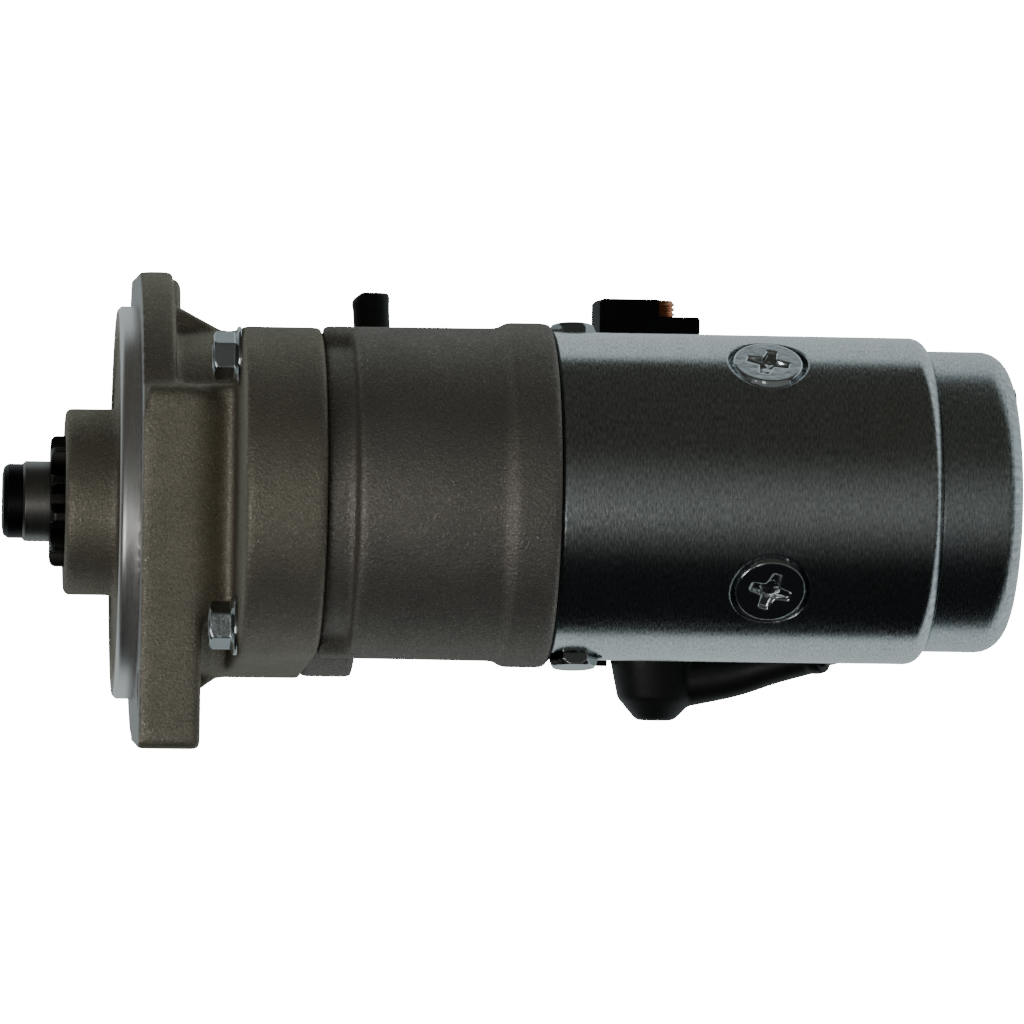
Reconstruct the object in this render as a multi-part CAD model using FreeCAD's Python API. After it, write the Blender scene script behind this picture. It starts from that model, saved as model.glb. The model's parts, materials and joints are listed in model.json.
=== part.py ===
import FreeCAD, Part
import math
import os

# Offset-gear reduction starter motor.  All sizes are millimetres.
# Origin: pinion axis at the mounting face of the flange.  +X runs from the pinion to the motor's rear,
# -Y is the motor's side, +Z is up.

os.makedirs("parts", exist_ok=True)
Vector = FreeCAD.Vector

# ---- axes: each is (y, z) of a line parallel to X --------------------------------------------------
CENTRE_DISTANCE = 66.0
IDLER_DISTANCE = 42.75
CLOCK_ANGLE = 2.8
CLOCK = math.radians(CLOCK_ANGLE)
PINION_AXIS = (0.0, 0.0)
MOTOR_AXIS = (-CENTRE_DISTANCE * math.cos(CLOCK), CENTRE_DISTANCE * math.sin(CLOCK))
IDLER_AXIS = (-IDLER_DISTANCE * math.cos(CLOCK), IDLER_DISTANCE * math.sin(CLOCK))
TOWARD_MOTOR = 180.0 - CLOCK_ANGLE
TOWARD_PINION = -CLOCK_ANGLE

# ---- reduction gears ---------------------------------------------------------------------------------
GEAR_MODULE = 1.5
GEAR_PRESSURE = 25.0
GEAR_ADDENDUM = 0.8
GEAR_DEDENDUM = 1.1
GEAR_BACKLASH = 0.12
ARMATURE_TEETH = 11
IDLER_TEETH = 20
CLUTCH_TEETH = 37
GEAR_X0 = 26.0
GEAR_X1 = 37.0

# ---- pinion and its shaft ----------------------------------------------------------------------------
PINION_TEETH = 11
PINION_MODULE = 2.5
PINION_PRESSURE = 20.0
PINION_ADDENDUM = 1.06
PINION_DEDENDUM = 1.15
PINION_SHIFT = 0.3
PINION_X0 = -21.1
PINION_X1 = -1.1
PINION_CHAMFER = 1.7
PINION_BACKLASH = 0.1
SHAFT_R = 7.0
SHAFT_X0 = -32.0
SHAFT_X1 = 66.0
SPLINE_COUNT = 6
SPLINE_R = 8.2
SPLINE_WIDTH = 3.0
SPLINE_PLAY = 0.1
SHAFT_FIT = 0.06
FRONT_SPLINE = (-20.6, -1.6)
REAR_SPLINE = (16.0, 40.0)
SHAFT_SHOULDER = (5.0, 7.0, 10.4)
SHAFT_TIP_CHAMFER = 0.6
COLLAR_R = 10.05
COLLAR_X0 = -27.9
CAP_R = 9.3
CAP_X0 = -33.0
CAP_DOME = 0.8
CAP_FLAT_R = 6.7
CAP_SHOULDER_R = 8.5
CAP_SHOULDER = 1.6
COLLAR_CHAMFER = 0.6
SNAP_RING_THICK = 1.2
SNAP_RING_IN = 6.3
SNAP_RING_OUT = 8.4
SNAP_RING_GAP = 3.0
PINION_SPRING_R = 9.2
PINION_SPRING_WIRE = 0.7
PINION_SPRING_TURNS = 2.75
RETURN_SPRING = (42.4, 64.0)
RETURN_SPRING_R = 9.4
RETURN_SPRING_WIRE = 0.65
RETURN_SPRING_TURNS = 6.5
SPRING_SEAT = (64.0, 65.6)
SPRING_SEAT_R = 10.1

# ---- drive housing -----------------------------------------------------------------------------------
NOSE_R = 23.25
NOSE_BORE_R = 17.5
NOSE_X0 = -17.6
NOSE_CHAMFER = 0.8
PILOT_R = 49.0
PILOT_X0 = -5.0
PILOT_CHAMFER = 1.0
PILOT_RECESS_R = 44.0
PILOT_RECESS = 0.8
FLANGE_X1 = 8.4
TOP_EAR_X1 = 12.1
LOW_EAR_X1 = 15.0
LOW_EAR_Y = -14.0
LOW_EAR_Z = -27.0
EAR_BOSS_R = 17.5
EAR_ROUND = 2.4
FLANGE_NEAR_Y = -55.0
FLANGE_BOTTOM_Z = -59.5
FLANGE_TOP_Z = 57.4
FLANGE_ARC_R = 58.5
FLANGE_EAR_REACH = 57.4
FLANGE_EAR_R = 12.0
FLANGE_CORNER_R = 2.5
FLANGE_WAIST_AT = 76.0
FLANGE_WAIST_R = 52.5
MOUNT_HOLE_R = 5.5
MOUNT_PCD = 127.0
MOUNT_ANGLE = 45.0
FAR_R = 43.3
FAR_CAVITY_R = 37.5
NEAR_R = 39.5
NEAR_CAVITY_R = 25.0
CASE_X0 = 22.5
CASE_CAVITY_X0 = 24.6
CASE_X1 = 42.0
GUSSET_X1 = 20.8
TOP_WEB_Z = 50.4
LOW_WEB_Z = -53.0
WEB_HALF = 7.0
WEB_SINK = 0.9
SHELF_X1 = 21.0
SHELF_Y = -55.0
SHELF_NECK_Y = -51.0
SHELF_Z = (-29.0, 29.0)
SHELF_ROUND = 3.0
SHELF_FALL_R = 9.0
CLUTCH_BEARING_SEAT = (9.5, 18.5)

# ---- flange bolts (two), M6 with a 10 mm hexagon -----------------------------------------------------
BOLT_OFFSET_Y = -5.1
BOLT_OFFSET_Z = 32.2
BOLT_R = 3.0
BOLT_HOLE_R = 3.2
BOLT_HEAD_X0 = 15.9
BOLT_FLANGE_R = 7.1
BOLT_FLANGE_THICK = 1.5
BOLT_ACROSS = 10.0
BOLT_X1 = 53.0
BOLT_SCREW_X1 = 54.0
BOLT_DISH = 1.1
BOLT_DISH_R = 3.4
BOLT_DISH_FLOOR_R = 2.6
BOLT_CROWN = 0.9
BOLT_CROWN_R = 6.0
BOLT_FLANGE_TOP_R = 5.6
BOLT_FLANGE_RIM = 0.7
BOLT_COUNTERBORE = 1.2
BOLT_ROOM_X0 = 14.0
LUG_R = 7.6

# ---- centre housing ----------------------------------------------------------------------------------
CENTRE_X0 = CASE_X1
FAR_X1 = 54.4
FAR_REAR_R = 42.8
WAIST_X1 = 50.0
WAIST_R = 36.6
CYLINDER_R = 39.9
CYLINDER_BORE_R = 35.4
WEB_X1 = 57.0
RIM_R = 41.5
RIM_RAMP = (84.6, 86.2)
RIM_X1 = 97.0
RIM_ROUND = 1.0
SPIGOT_R = 34.95
SPIGOT_BORE_R = 29.0
SPIGOT_X1 = 109.0
BARREL_R = 24.5
BARREL_BORE_R = 21.1
BARREL_X1 = 114.0
BARREL_FLOOR_X1 = 67.5
SPRING_BORE_R = 12.4
RIB_COUNT = 6
RIB_THICK = 3.0
RIB_INNER_R = 21.0
BRIDGE_HALF_HEIGHT = 12.0
NIPPLE_X = 60.4
NIPPLE_Y = 4.0
NIPPLE_R = 2.4
NIPPLE_BORE_R = 1.3
NIPPLE_LENGTH = 15.0
SEAL_THICK = 0.4

# ---- yoke and its fasteners --------------------------------------------------------------------------
YOKE_X0 = RIM_X1 + SEAL_THICK
YOKE_X1 = 188.0
YOKE_R = 39.5
YOKE_BORE_R = 35.0
YOKE_END_ROUND = 4.0
YOKE_BOLT_X = 103.3
YOKE_BOLT_ANGLES = (-79.0, 101.0)
YOKE_BOLT_SEAT = 37.9
YOKE_BOLT_TOP = 41.9
YOKE_BOLT_SEAT_R = 7.0
YOKE_BOLT_IN = 30.5
YOKE_BOLT_CROWN = (1.4, -0.7)
YOKE_EDGE = 0.3
POLE_ANGLES = (56.0, -34.0, 146.0, -124.0)
POLE_X = 147.4
POLE_X0 = 119.0
POLE_X1 = 176.0
POLE_HALF_ANGLE = 24.0
POLE_IN_R = 27.6
POLE_SCREW_HEAD_R = 9.25
POLE_SCREW_SINK_R = 9.6
POLE_SCREW_FLAT_R = 8.2
POLE_SCREW_TOP = 39.3
POLE_SCREW_SEAT = 37.2
POLE_SCREW_R = 4.0
POLE_SCREW_IN = 30.0
POLE_SCREW_PLAY = 0.2
CROSS_LENGTH = 10.0
CROSS_WIDTH = 2.4
CROSS_DEPTH = 1.6
CROSS_TURN = -17.0
COIL_X0 = 110.5
COIL_X1 = 181.0
COIL_HALF_ANGLE = 41.0
COIL_GAP_ANGLE = 25.2
COIL_GAP_X = 1.0
COIL_IN_R = 28.6
COIL_OUT_R = 34.4

# ---- armature ----------------------------------------------------------------------------------------
ARMATURE_R = 27.0
ARMATURE_SLOTS = 25
ARMATURE_SLOT_WIDTH = 2.2
ARMATURE_SLOT_DEPTH = 6.5
ARMATURE_NECK_R = 6.4
ARMATURE_STEP_R = 6.0
WINDING_X0 = 107.0
WINDING_X1 = 182.0
WINDING_R = 24.4
WINDING_SHOULDER = 3.5
WINDING_BORE_R = 12.0
WINDING_GAP = 0.1
WINDING_DEPTH = 0.7
ARMATURE_SHAFT_R = 8.5
ARMATURE_FRONT_R = 7.5
ARMATURE_REAR_R = 4.0
ARMATURE_GEAR_END = 39.0
ARMATURE_X1 = 206.0
COMMUTATOR_X0 = 183.0
COMMUTATOR_X1 = 198.0
COMMUTATOR_R = 16.5
COMMUTATOR_RISER_R = 19.0
COMMUTATOR_RISER_X1 = 184.9
COMMUTATOR_BARS = 25
COMMUTATOR_CUT = 0.7
COMMUTATOR_CUT_DEPTH = 0.8

# ---- bearings: (x0, x1, inner radius, outer radius, balls) -------------------------------------------
CLUTCH_FRONT_BEARING = (9.5, 18.5, 12.5, 21.0, 11)
CLUTCH_REAR_BEARING = (42.0, 51.0, 12.5, 21.0, 11)
ARMATURE_FRONT_BEARING = (44.0, 55.0, 7.5, 17.5, 8)
ARMATURE_REAR_BEARING = (199.0, 206.0, 4.0, 11.0, 7)
BEARING_FIT = 0.05
RACE_SHARE = 0.3

# ---- overrunning clutch ------------------------------------------------------------------------------
CLUTCH_RING_R = 23.7
CLUTCH_TRACK_R = 17.4
CLUTCH_LAND_R = 18.0
ROLLER_COUNT = 5
ROLLER_R = 2.9
ROLLER_CENTRE_R = 20.55
POCKET_HALF_ANGLE = 17.0
ROLLER_TURN = -7.0
ROLLER_END_GAP = 0.4
LEAF_TURN = 11.5
LEAF_HALF_ANGLE = 4.0
LEAF_OUT = 1.6
LEAF_IN = 1.4
LEAF_END_GAP = 2.0
CLUTCH_WEB_X1 = 39.6
CLUTCH_HUB_BORE_R = 10.5
CLUTCH_HUB_X1 = 51.0
CLUTCH_JOURNAL_R = 10.45
CLUTCH_JOURNAL_X1 = 42.2
CLUTCH_SLEEVE_X0 = 8.4
CLUTCH_COVER = (25.0, 26.0, 26.0)
CLUTCH_SHOULDER_R = 14.0
IDLER_PIN_R = 5.0
IDLER_PIN_X0 = 19.0
IDLER_PIN_X1 = 48.0
IDLER_HUB_R = 9.0
IDLER_HUB_X1 = 39.5
IDLER_HUB_STEP = 0.8

# ---- rear cover and brush gear -----------------------------------------------------------------------
COVER_R = 36.4
COVER_X1 = 208.0
COVER_ROUND = 6.7
COVER_WALL = 1.8
COVER_END = 2.4
COVER_LIP_X0 = 185.2
COVER_LIP_R = 34.9
COVER_LIP_IN = 33.4
COVER_CUP_R = 13.4
BRUSH_PLATE = (183.0, 185.2)
BRUSH_PLATE_BORE = 20.4
BRUSH_COUNT = 4
BRUSH_TURN = 11.0
BRUSH_X = (187.2, 196.8)
BRUSH_WIDTH = 8.0
BRUSH_OUT_R = 27.0
BRUSH_CLEAR = 0.06
HOLDER_WALL = 1.2
HOLDER_OUT_R = 32.4
HOLDER_IN_R = 18.6
COVER_SCREW_R = 2.5
COVER_SCREW_HEAD_R = 4.7
COVER_SCREW_PITCH_R = 27.5
COVER_SCREW_ANGLES = (56.0, -124.0)
COVER_SCREW_SINK = 2.2
COVER_CROSS = (4.8, 1.2, 1.4)
BRUSH_SPRING_R = 2.6
BRUSH_SPRING_WIRE = 0.4
BRUSH_SPRING_TURNS = 3.0

# ---- magnetic switch ---------------------------------------------------------------------------------
TRAVEL = 14.0
CORE_X0 = BARREL_FLOOR_X1
CORE_PLATE_X1 = 70.7
CORE_X1 = 77.0
CORE_PLUG_R = 9.5
CORE_BORE_R = 4.3
BALL_R = 4.0
BALL_GAP = 0.1
ROD_R = 3.9
PLUNGER_X0 = CORE_X1 + TRAVEL + 0.4
PLUNGER_X1 = 122.0
PLUNGER_R = 9.9
BOBBIN_R = 9.98
BOBBIN_WALL = 1.1
BOBBIN_X1 = 106.0
BOBBIN_FLANGE_R = 20.8
BOBBIN_FLANGE = 1.4
COIL_R = 20.2
END_PLATE_X1 = 110.0
END_PLATE_BORE = 10.4
PLUNGER_STEM_R = 3.0
CONTACT_FACE_X = 135.6
CONTACT_DISC = (CONTACT_FACE_X + TRAVEL + 0.3, 2.0, 15.0)
STEM_X1 = 154.5
SWITCH_SPRING = (PLUNGER_X1, CONTACT_DISC[0])
SWITCH_SPRING_R = 5.0
SWITCH_SPRING_WIRE = 0.6
SWITCH_SPRING_TURNS = 6.0
CAP_X1 = 158.5
CAP_OUT_R = 24.3
CAP_IN_R = 19.4
CAP_FLOOR = 2.5
CAP_CORNER = 1.2
CAP_BOSS = (8.0, 2.0, 6.0)
CAP_SCREW_ANGLES = (0.0, 120.0, 240.0)
CAP_SCREW_R = 1.25
CAP_SCREW_PITCH_R = 22.5
CAP_SCREW_HEAD_R = 2.0
CAP_SCREW_HEAD = 1.6
CAP_SCREW_IN = 10.0

# ---- terminals ---------------------------------------------------------------------------------------
STUD_X = 131.0
STUD_R = 4.0
STUD_SHANK_R = 3.6
STUD_TOP = 52.9
STUD_IN = 13.6
PAD_SIZE = (9.2, 14.0, 3.4)
PAD_Z0 = 10.3
SHROUD_X = (115.0, 129.8)
SHROUD_Y = (-11.0, 11.0)
SHROUD_TOP = 52.8
SHROUD_STEP_X1 = 140.2
SHROUD_STEP_TOP = 48.5
SHROUD_RECESS_R = 7.2
SHROUD_FLOOR = 44.0
SHROUD_BEVEL = 2.0
SHROUD_ROOT = 19.8
SHROUD_ROUND = 1.0
STUD_CHAMFER = 0.6
NUT_ACROSS = 13.0
NUT_THICK = 5.0
MOTOR_STUD_BOTTOM = -44.0
MOTOR_NUT_TOP = -28.0
LUG_THICK = 1.6
LUG_TONGUE_R = 6.6
LUG_STRAP = 1.0
LUG_HALF_WIDTH = 3.4
LEAD_R = 3.1
LEAD_START_Z = -41.6
LEAD_POINTS = ((138.0, -1.0, -42.6), (150.0, -5.5, -41.0), (162.0, -12.5, -37.8), (173.0, -21.5, -34.6))
LEAD_ENTRY_X = 179.5
LEAD_ENTRY_ANGLE = -128.0
LEAD_ENTRY_RUN = 8.0
BOOT_R = 9.6
BOOT_WALL = 1.4
BOOT_TOP = -26.6
BOOT_BOTTOM = -51.6
BOOT_SHIFT = 0.6
BOOT_FLARE = 1.4
BOOT_LEAN = 0.03
SIGNAL_X = (116.2, 118.9)
SIGNAL_WIDTH = 6.4
SIGNAL_WALL = 0.8
SIGNAL_BOTTOM = -39.2
GROMMET_R = 6.4
GROMMET_THICK = 2.6
GROMMET_STAND_OFF = 0.6
GROMMET_NECK = 1.6

# ---- vent hose ---------------------------------------------------------------------------------------
HOSE_R = 4.5
HOSE_BORE_R = 2.4
HOSE_START = 4.0
HOSE_LENGTH = 34.0
HOSE_TOP = 53.2
HOSE_SLANT = 5.0
HOSE_LEAN = -0.06

TINY = 0.02
LONG = 400.0
ARC_STEPS = 10
FLANK_STEPS = 6


# ======================================================================================================
# helpers
# ======================================================================================================
def place(x, axis, radius=0.0, angle=0.0):
    """Point at station x, at a radius from an axis; the angle is measured up from the near (-Y) side."""
    turn = math.radians(angle)
    return Vector(x, axis[0] - radius * math.cos(turn), axis[1] + radius * math.sin(turn))


def outward(angle):
    """Unit vector pointing away from an axis at an angle measured up from the near side."""
    turn = math.radians(angle)
    return Vector(0, -math.cos(turn), math.sin(turn))


def disc(x0, x1, radius, axis):
    """Solid cylinder along X."""
    return Part.makeCylinder(radius, x1 - x0, place(x0, axis), Vector(1, 0, 0))


def ring(x0, x1, outer, inner, axis):
    """Tube along X."""
    return disc(x0, x1, outer, axis).cut(disc(x0 - 1, x1 + 1, inner, axis))


def box(x, y, z):
    """Box from (low, high) pairs."""
    corner = Vector(x[0], y[0], z[0])
    return Part.makeBox(x[1] - x[0], y[1] - y[0], z[1] - z[0], corner)


def turned(points, axis):
    """Solid of revolution about an X-parallel axis, from (x, radius) points of a closed outline."""
    centre = place(0, axis)
    corners = [centre + Vector(x, 0, r) for x, r in points]
    face = Part.Face(Part.makePolygon(corners + [corners[0]]))
    return face.revolve(centre, Vector(1, 0, 0), 360)


def rod(start, direction, radius, length):
    """Cylinder from a point along any direction."""
    return Part.makeCylinder(radius, length, start, direction)


def hexagon(start, direction, side_hint, across, height):
    """Hexagonal prism from a point along a direction; side_hint is perpendicular to the direction."""
    other = direction.cross(side_hint)
    corner_r = across / math.sqrt(3)
    corners = []
    for step in range(6):
        turn = math.radians(60 * step)
        corners.append(start + side_hint * (corner_r * math.cos(turn)) + other * (corner_r * math.sin(turn)))
    face = Part.Face(Part.makePolygon(corners + [corners[0]]))
    return face.extrude(direction * height)


def hull_block(x0, x1, axis_a, radius_a, axis_b, radius_b):
    """Extruded outline that wraps two circles with common tangents."""
    across = Vector(0, axis_b[0] - axis_a[0], axis_b[1] - axis_a[1])
    distance = across.Length
    lean = math.acos((radius_a - radius_b) / distance)
    base = math.atan2(across.z, across.y)
    corners = []
    for axis, radius, side in ((axis_a, radius_a, 1), (axis_b, radius_b, 1),
                               (axis_b, radius_b, -1), (axis_a, radius_a, -1)):
        turn = base + side * lean
        corners.append(Vector(x0, axis[0] + radius * math.cos(turn), axis[1] + radius * math.sin(turn)))
    quad = Part.Face(Part.makePolygon(corners + [corners[0]])).extrude(Vector(x1 - x0, 0, 0))
    block = quad.fuse([disc(x0, x1, radius_a, axis_a), disc(x0, x1, radius_b, axis_b)])
    return block.removeSplitter()


def sector(x0, x1, outer, inner, axis, middle, half_angle):
    """Part of a tube along X, centred on an angle and reaching half_angle each way."""
    low = middle - half_angle
    high = middle + half_angle
    edges = [
        Part.Arc(place(x0, axis, outer, low), place(x0, axis, outer, middle),
                 place(x0, axis, outer, high)).toShape(),
        Part.makeLine(place(x0, axis, outer, high), place(x0, axis, inner, high)),
        Part.Arc(place(x0, axis, inner, high), place(x0, axis, inner, middle),
                 place(x0, axis, inner, low)).toShape(),
        Part.makeLine(place(x0, axis, inner, low), place(x0, axis, outer, low)),
    ]
    return Part.Face(Part.Wire(edges)).extrude(Vector(x1 - x0, 0, 0))


def radial_box(x, axis, angle, reach, half_width):
    """Box that stands on an axis: reach is its (inner, outer) radius along an angle."""
    shape = box(x, (-reach[1], -reach[0]), (-half_width, half_width))
    shape.rotate(Vector(0, 0, 0), Vector(1, 0, 0), -angle)
    shape.translate(place(0, axis))
    return shape


def spring(x0, x1, mean_r, wire_r, turns, axis):
    """Coil spring along X that fits between two stations."""
    length = x1 - x0 - 2 * wire_r
    helix = Part.makeHelix(length / turns, length, mean_r)
    profile = Part.Wire(Part.makeCircle(wire_r, Vector(mean_r, 0, 0), Vector(0, 1, 0)))
    coil = Part.Wire(helix.Edges).makePipeShell([profile], True, True)
    coil.rotate(Vector(0, 0, 0), Vector(0, 1, 0), 90)
    coil.translate(place(x0 + wire_r, axis))
    return coil


def involute_point(base_r, radius, offset, side):
    """Angle, at one radius, of a flank of a tooth centred on angle zero."""
    roll = math.acos(min(1.0, base_r / radius))
    return side * (offset - (math.tan(roll) - roll))


def gear_outline(teeth, module, pressure, addendum, dedendum, shift, backlash):
    """Angles and radii of one tooth: the two flanks, tip radius and root radius."""
    pitch_r = teeth * module / 2
    base_r = pitch_r * math.cos(math.radians(pressure))
    tip_r = pitch_r + addendum * module
    root_r = pitch_r - dedendum * module
    tangent = math.tan(math.radians(pressure))
    half_tooth = (math.pi / 2 + 2 * shift * tangent) / teeth - backlash / (2 * pitch_r)
    offset = half_tooth + tangent - math.radians(pressure)
    start_r = max(base_r, root_r + TINY)
    flank = []
    for step in range(FLANK_STEPS + 1):
        radius = start_r + (tip_r - start_r) * step / FLANK_STEPS
        flank.append((involute_point(base_r, radius, offset, 1), radius))
    return flank, tip_r, root_r


def gear(x0, x1, axis, teeth, module, pressure, addendum, dedendum, shift, backlash, tooth_at):
    """Spur gear blank with involute teeth; one tooth is centred on the direction tooth_at in the YZ plane."""
    flank, tip_r, root_r = gear_outline(teeth, module, pressure, addendum, dedendum, shift, backlash)

    def point(angle, radius):
        return Vector(x0, axis[0] + radius * math.cos(angle), axis[1] + radius * math.sin(angle))

    edges = []
    pitch = 2 * math.pi / teeth
    start_angle = flank[0][0]
    for index in range(teeth):
        middle = math.radians(tooth_at) + index * pitch
        rising = [point(middle - angle, radius) for angle, radius in flank]
        falling = [point(middle + angle, radius) for angle, radius in reversed(flank)]
        foot = point(middle - start_angle, root_r)
        heel = point(middle + start_angle, root_r)
        next_foot = point(middle + pitch - start_angle, root_r)
        valley = point(middle + pitch / 2, root_r)
        side_a = Part.BSplineCurve()
        side_a.interpolate(rising)
        side_b = Part.BSplineCurve()
        side_b.interpolate(falling)
        edges.append(Part.makeLine(foot, rising[0]))
        edges.append(side_a.toShape())
        edges.append(Part.Arc(rising[-1], point(middle, tip_r), falling[0]).toShape())
        edges.append(side_b.toShape())
        edges.append(Part.makeLine(falling[-1], heel))
        edges.append(Part.Arc(heel, valley, next_foot).toShape())
    return Part.Face(Part.Wire(edges)).extrude(Vector(x1 - x0, 0, 0))


def reduction_gear(teeth, axis, tooth_at):
    """One of the three meshed gears inside the case."""
    return gear(GEAR_X0, GEAR_X1, axis, teeth, GEAR_MODULE, GEAR_PRESSURE, GEAR_ADDENDUM,
                GEAR_DEDENDUM, 0.0, GEAR_BACKLASH, tooth_at)


def splines(x0, x1, axis, radius, width):
    """Straight keys around a shaft."""
    keys = []
    for index in range(SPLINE_COUNT):
        angle = 360 * index / SPLINE_COUNT
        keys.append(radial_box((x0, x1), axis, angle, (SHAFT_R / 2, radius), width / 2))
    return keys


def spline_bore(x0, x1):
    """Hole that the splined pinion shaft slides in."""
    keys = splines(x0, x1, PINION_AXIS, SPLINE_R + SPLINE_PLAY, SPLINE_WIDTH + 2 * SPLINE_PLAY)
    return disc(x0, x1, SHAFT_R + SHAFT_FIT, PINION_AXIS).fuse(keys)


def race_radii(bearing):
    """Ball centre radius, ball radius and the two shoulder radii of a ball bearing."""
    inner, outer = bearing[2], bearing[3]
    middle = (inner + outer) / 2
    ball = (outer - inner) * RACE_SHARE
    gap = (outer - inner) * (0.5 - RACE_SHARE) * 0.9
    return middle, ball, middle - ball + gap, middle + ball - gap


def groove(bearing, radius, axis):
    """Torus that cuts the ball track."""
    middle = (bearing[0] + bearing[1]) / 2
    return Part.makeTorus(race_radii(bearing)[0], radius, place(middle, axis), Vector(1, 0, 0))


def outer_race(bearing, axis):
    """Outer ring of a ball bearing."""
    ball_r = race_radii(bearing)[1]
    shoulder = race_radii(bearing)[3]
    return ring(bearing[0], bearing[1], bearing[3], shoulder, axis).cut(
        groove(bearing, ball_r + BEARING_FIT, axis))


def inner_race(bearing, axis):
    """Inner ring of a ball bearing."""
    ball_r = race_radii(bearing)[1]
    shoulder = race_radii(bearing)[2]
    return ring(bearing[0], bearing[1], shoulder, bearing[2], axis).cut(
        groove(bearing, ball_r + BEARING_FIT, axis))


def bearing_balls(bearing, axis):
    """Balls of one bearing."""
    centre_r, ball_r = race_radii(bearing)[:2]
    middle = (bearing[0] + bearing[1]) / 2
    return [Part.makeSphere(ball_r, place(middle, axis, centre_r, 360 * index / bearing[4]))
            for index in range(bearing[4])]


def save(name, solids):
    """Write one node; several solids go in as a compound."""
    if not isinstance(solids, list):
        solids = [solids]
    pieces = []
    for solid in solids:
        pieces.extend(solid.Solids)
    for piece in pieces:
        if not piece.isValid() or piece.Volume <= 0:
            raise ValueError("bad solid in " + name)
    shape = pieces[0] if len(pieces) == 1 else Part.makeCompound(pieces)
    shape.exportStep("parts/" + name + ".step")
    size = shape.BoundBox
    print("%-26s %2d solids  x %.1f %.1f" % (name, len(pieces), size.XMin, size.XMax))


# ======================================================================================================
# castings
# ======================================================================================================
def flange_outline(thickness):
    """Plate in the flange's outline: round, with two diagonal ears and three straight edges."""
    round_part = disc(0, thickness, FLANGE_ARC_R, PINION_AXIS)
    top_ear = box((0, thickness), (0, FLANGE_EAR_REACH), (0, FLANGE_EAR_REACH))
    top_ear = top_ear.makeFillet(FLANGE_EAR_R, along_x(top_ear, FLANGE_EAR_REACH, FLANGE_EAR_REACH))
    low_ear = box((0, thickness), (FLANGE_NEAR_Y, 0), (FLANGE_BOTTOM_Z, 0))
    low_ear = low_ear.makeFillet(FLANGE_CORNER_R, along_x(low_ear, FLANGE_NEAR_Y, FLANGE_BOTTOM_Z))
    trim = box((-1, thickness + 1), (FLANGE_NEAR_Y, LONG), (FLANGE_BOTTOM_Z, FLANGE_TOP_Z))
    plate = round_part.fuse([top_ear, low_ear]).removeSplitter().common(trim)
    waist_start = Vector(-1, FLANGE_WAIST_AT, -FLANGE_WAIST_AT)
    far_waist = rod(waist_start, Vector(1, 0, 0), FLANGE_WAIST_R, thickness + 2)
    return plate.cut(far_waist)


def flange_plate():
    """Mounting flange: a plate with a thicker boss behind each ear."""
    reach = MOUNT_PCD / 2 * math.cos(math.radians(MOUNT_ANGLE))
    plate = flange_outline(FLANGE_X1)
    top_boss = rod(Vector(0, reach, reach), Vector(1, 0, 0), EAR_BOSS_R, TOP_EAR_X1)
    top_boss = top_boss.common(flange_outline(TOP_EAR_X1))
    rear = [edge for edge in top_boss.Edges if edge.BoundBox.XMin > TOP_EAR_X1 - TINY]
    top_boss = top_boss.makeFillet(EAR_ROUND, rear)
    low_boss = box((0, LOW_EAR_X1), (FLANGE_NEAR_Y, LOW_EAR_Y), (FLANGE_BOTTOM_Z, LOW_EAR_Z))
    low_boss = low_boss.common(flange_outline(LOW_EAR_X1))
    return plate.fuse([top_boss, low_boss])


def along_x(shape, y, z):
    """Edges of a shape that run along X through (y, z)."""
    found = []
    for edge in shape.Edges:
        size = edge.BoundBox
        if abs(size.YMin - y) + abs(size.YMax - y) + abs(size.ZMin - z) + abs(size.ZMax - z) < TINY:
            found.append(edge)
    return found


def mount_hole(sign):
    """One flange bolt hole."""
    turn = math.radians(MOUNT_ANGLE)
    reach = sign * MOUNT_PCD / 2
    start = Vector(-1, reach * math.cos(turn), reach * math.sin(turn))
    return rod(start, Vector(1, 0, 0), MOUNT_HOLE_R, LOW_EAR_X1 + 2)


def web(x_foot, z_foot, x_head, z_head):
    """Triangular gusset between the flange's rear face and the round body."""
    sunk = z_foot * WEB_SINK
    outline = [(x_foot, z_foot), (x_head - 1, z_head), (x_head - 1, sunk), (x_foot, sunk)]
    points = [Vector(x, -WEB_HALF, z) for x, z in outline]
    return Part.Face(Part.makePolygon(points + [points[0]])).extrude(Vector(0, 2 * WEB_HALF, 0))


def hose_direction():
    """Unit vector along the nipple and the vent hose."""
    return Vector(HOSE_LEAN, 0, 1).normalize()


def hose_foot():
    """Where the nipple stands inside the barrel's wall."""
    return Vector(NIPPLE_X, NIPPLE_Y, BARREL_BORE_R)


def bolt_axis(side):
    """Axis of a flange bolt, above (+1) or below (-1) the motor axis."""
    return (MOTOR_AXIS[0] + BOLT_OFFSET_Y, MOTOR_AXIS[1] + side * BOLT_OFFSET_Z)


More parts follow.
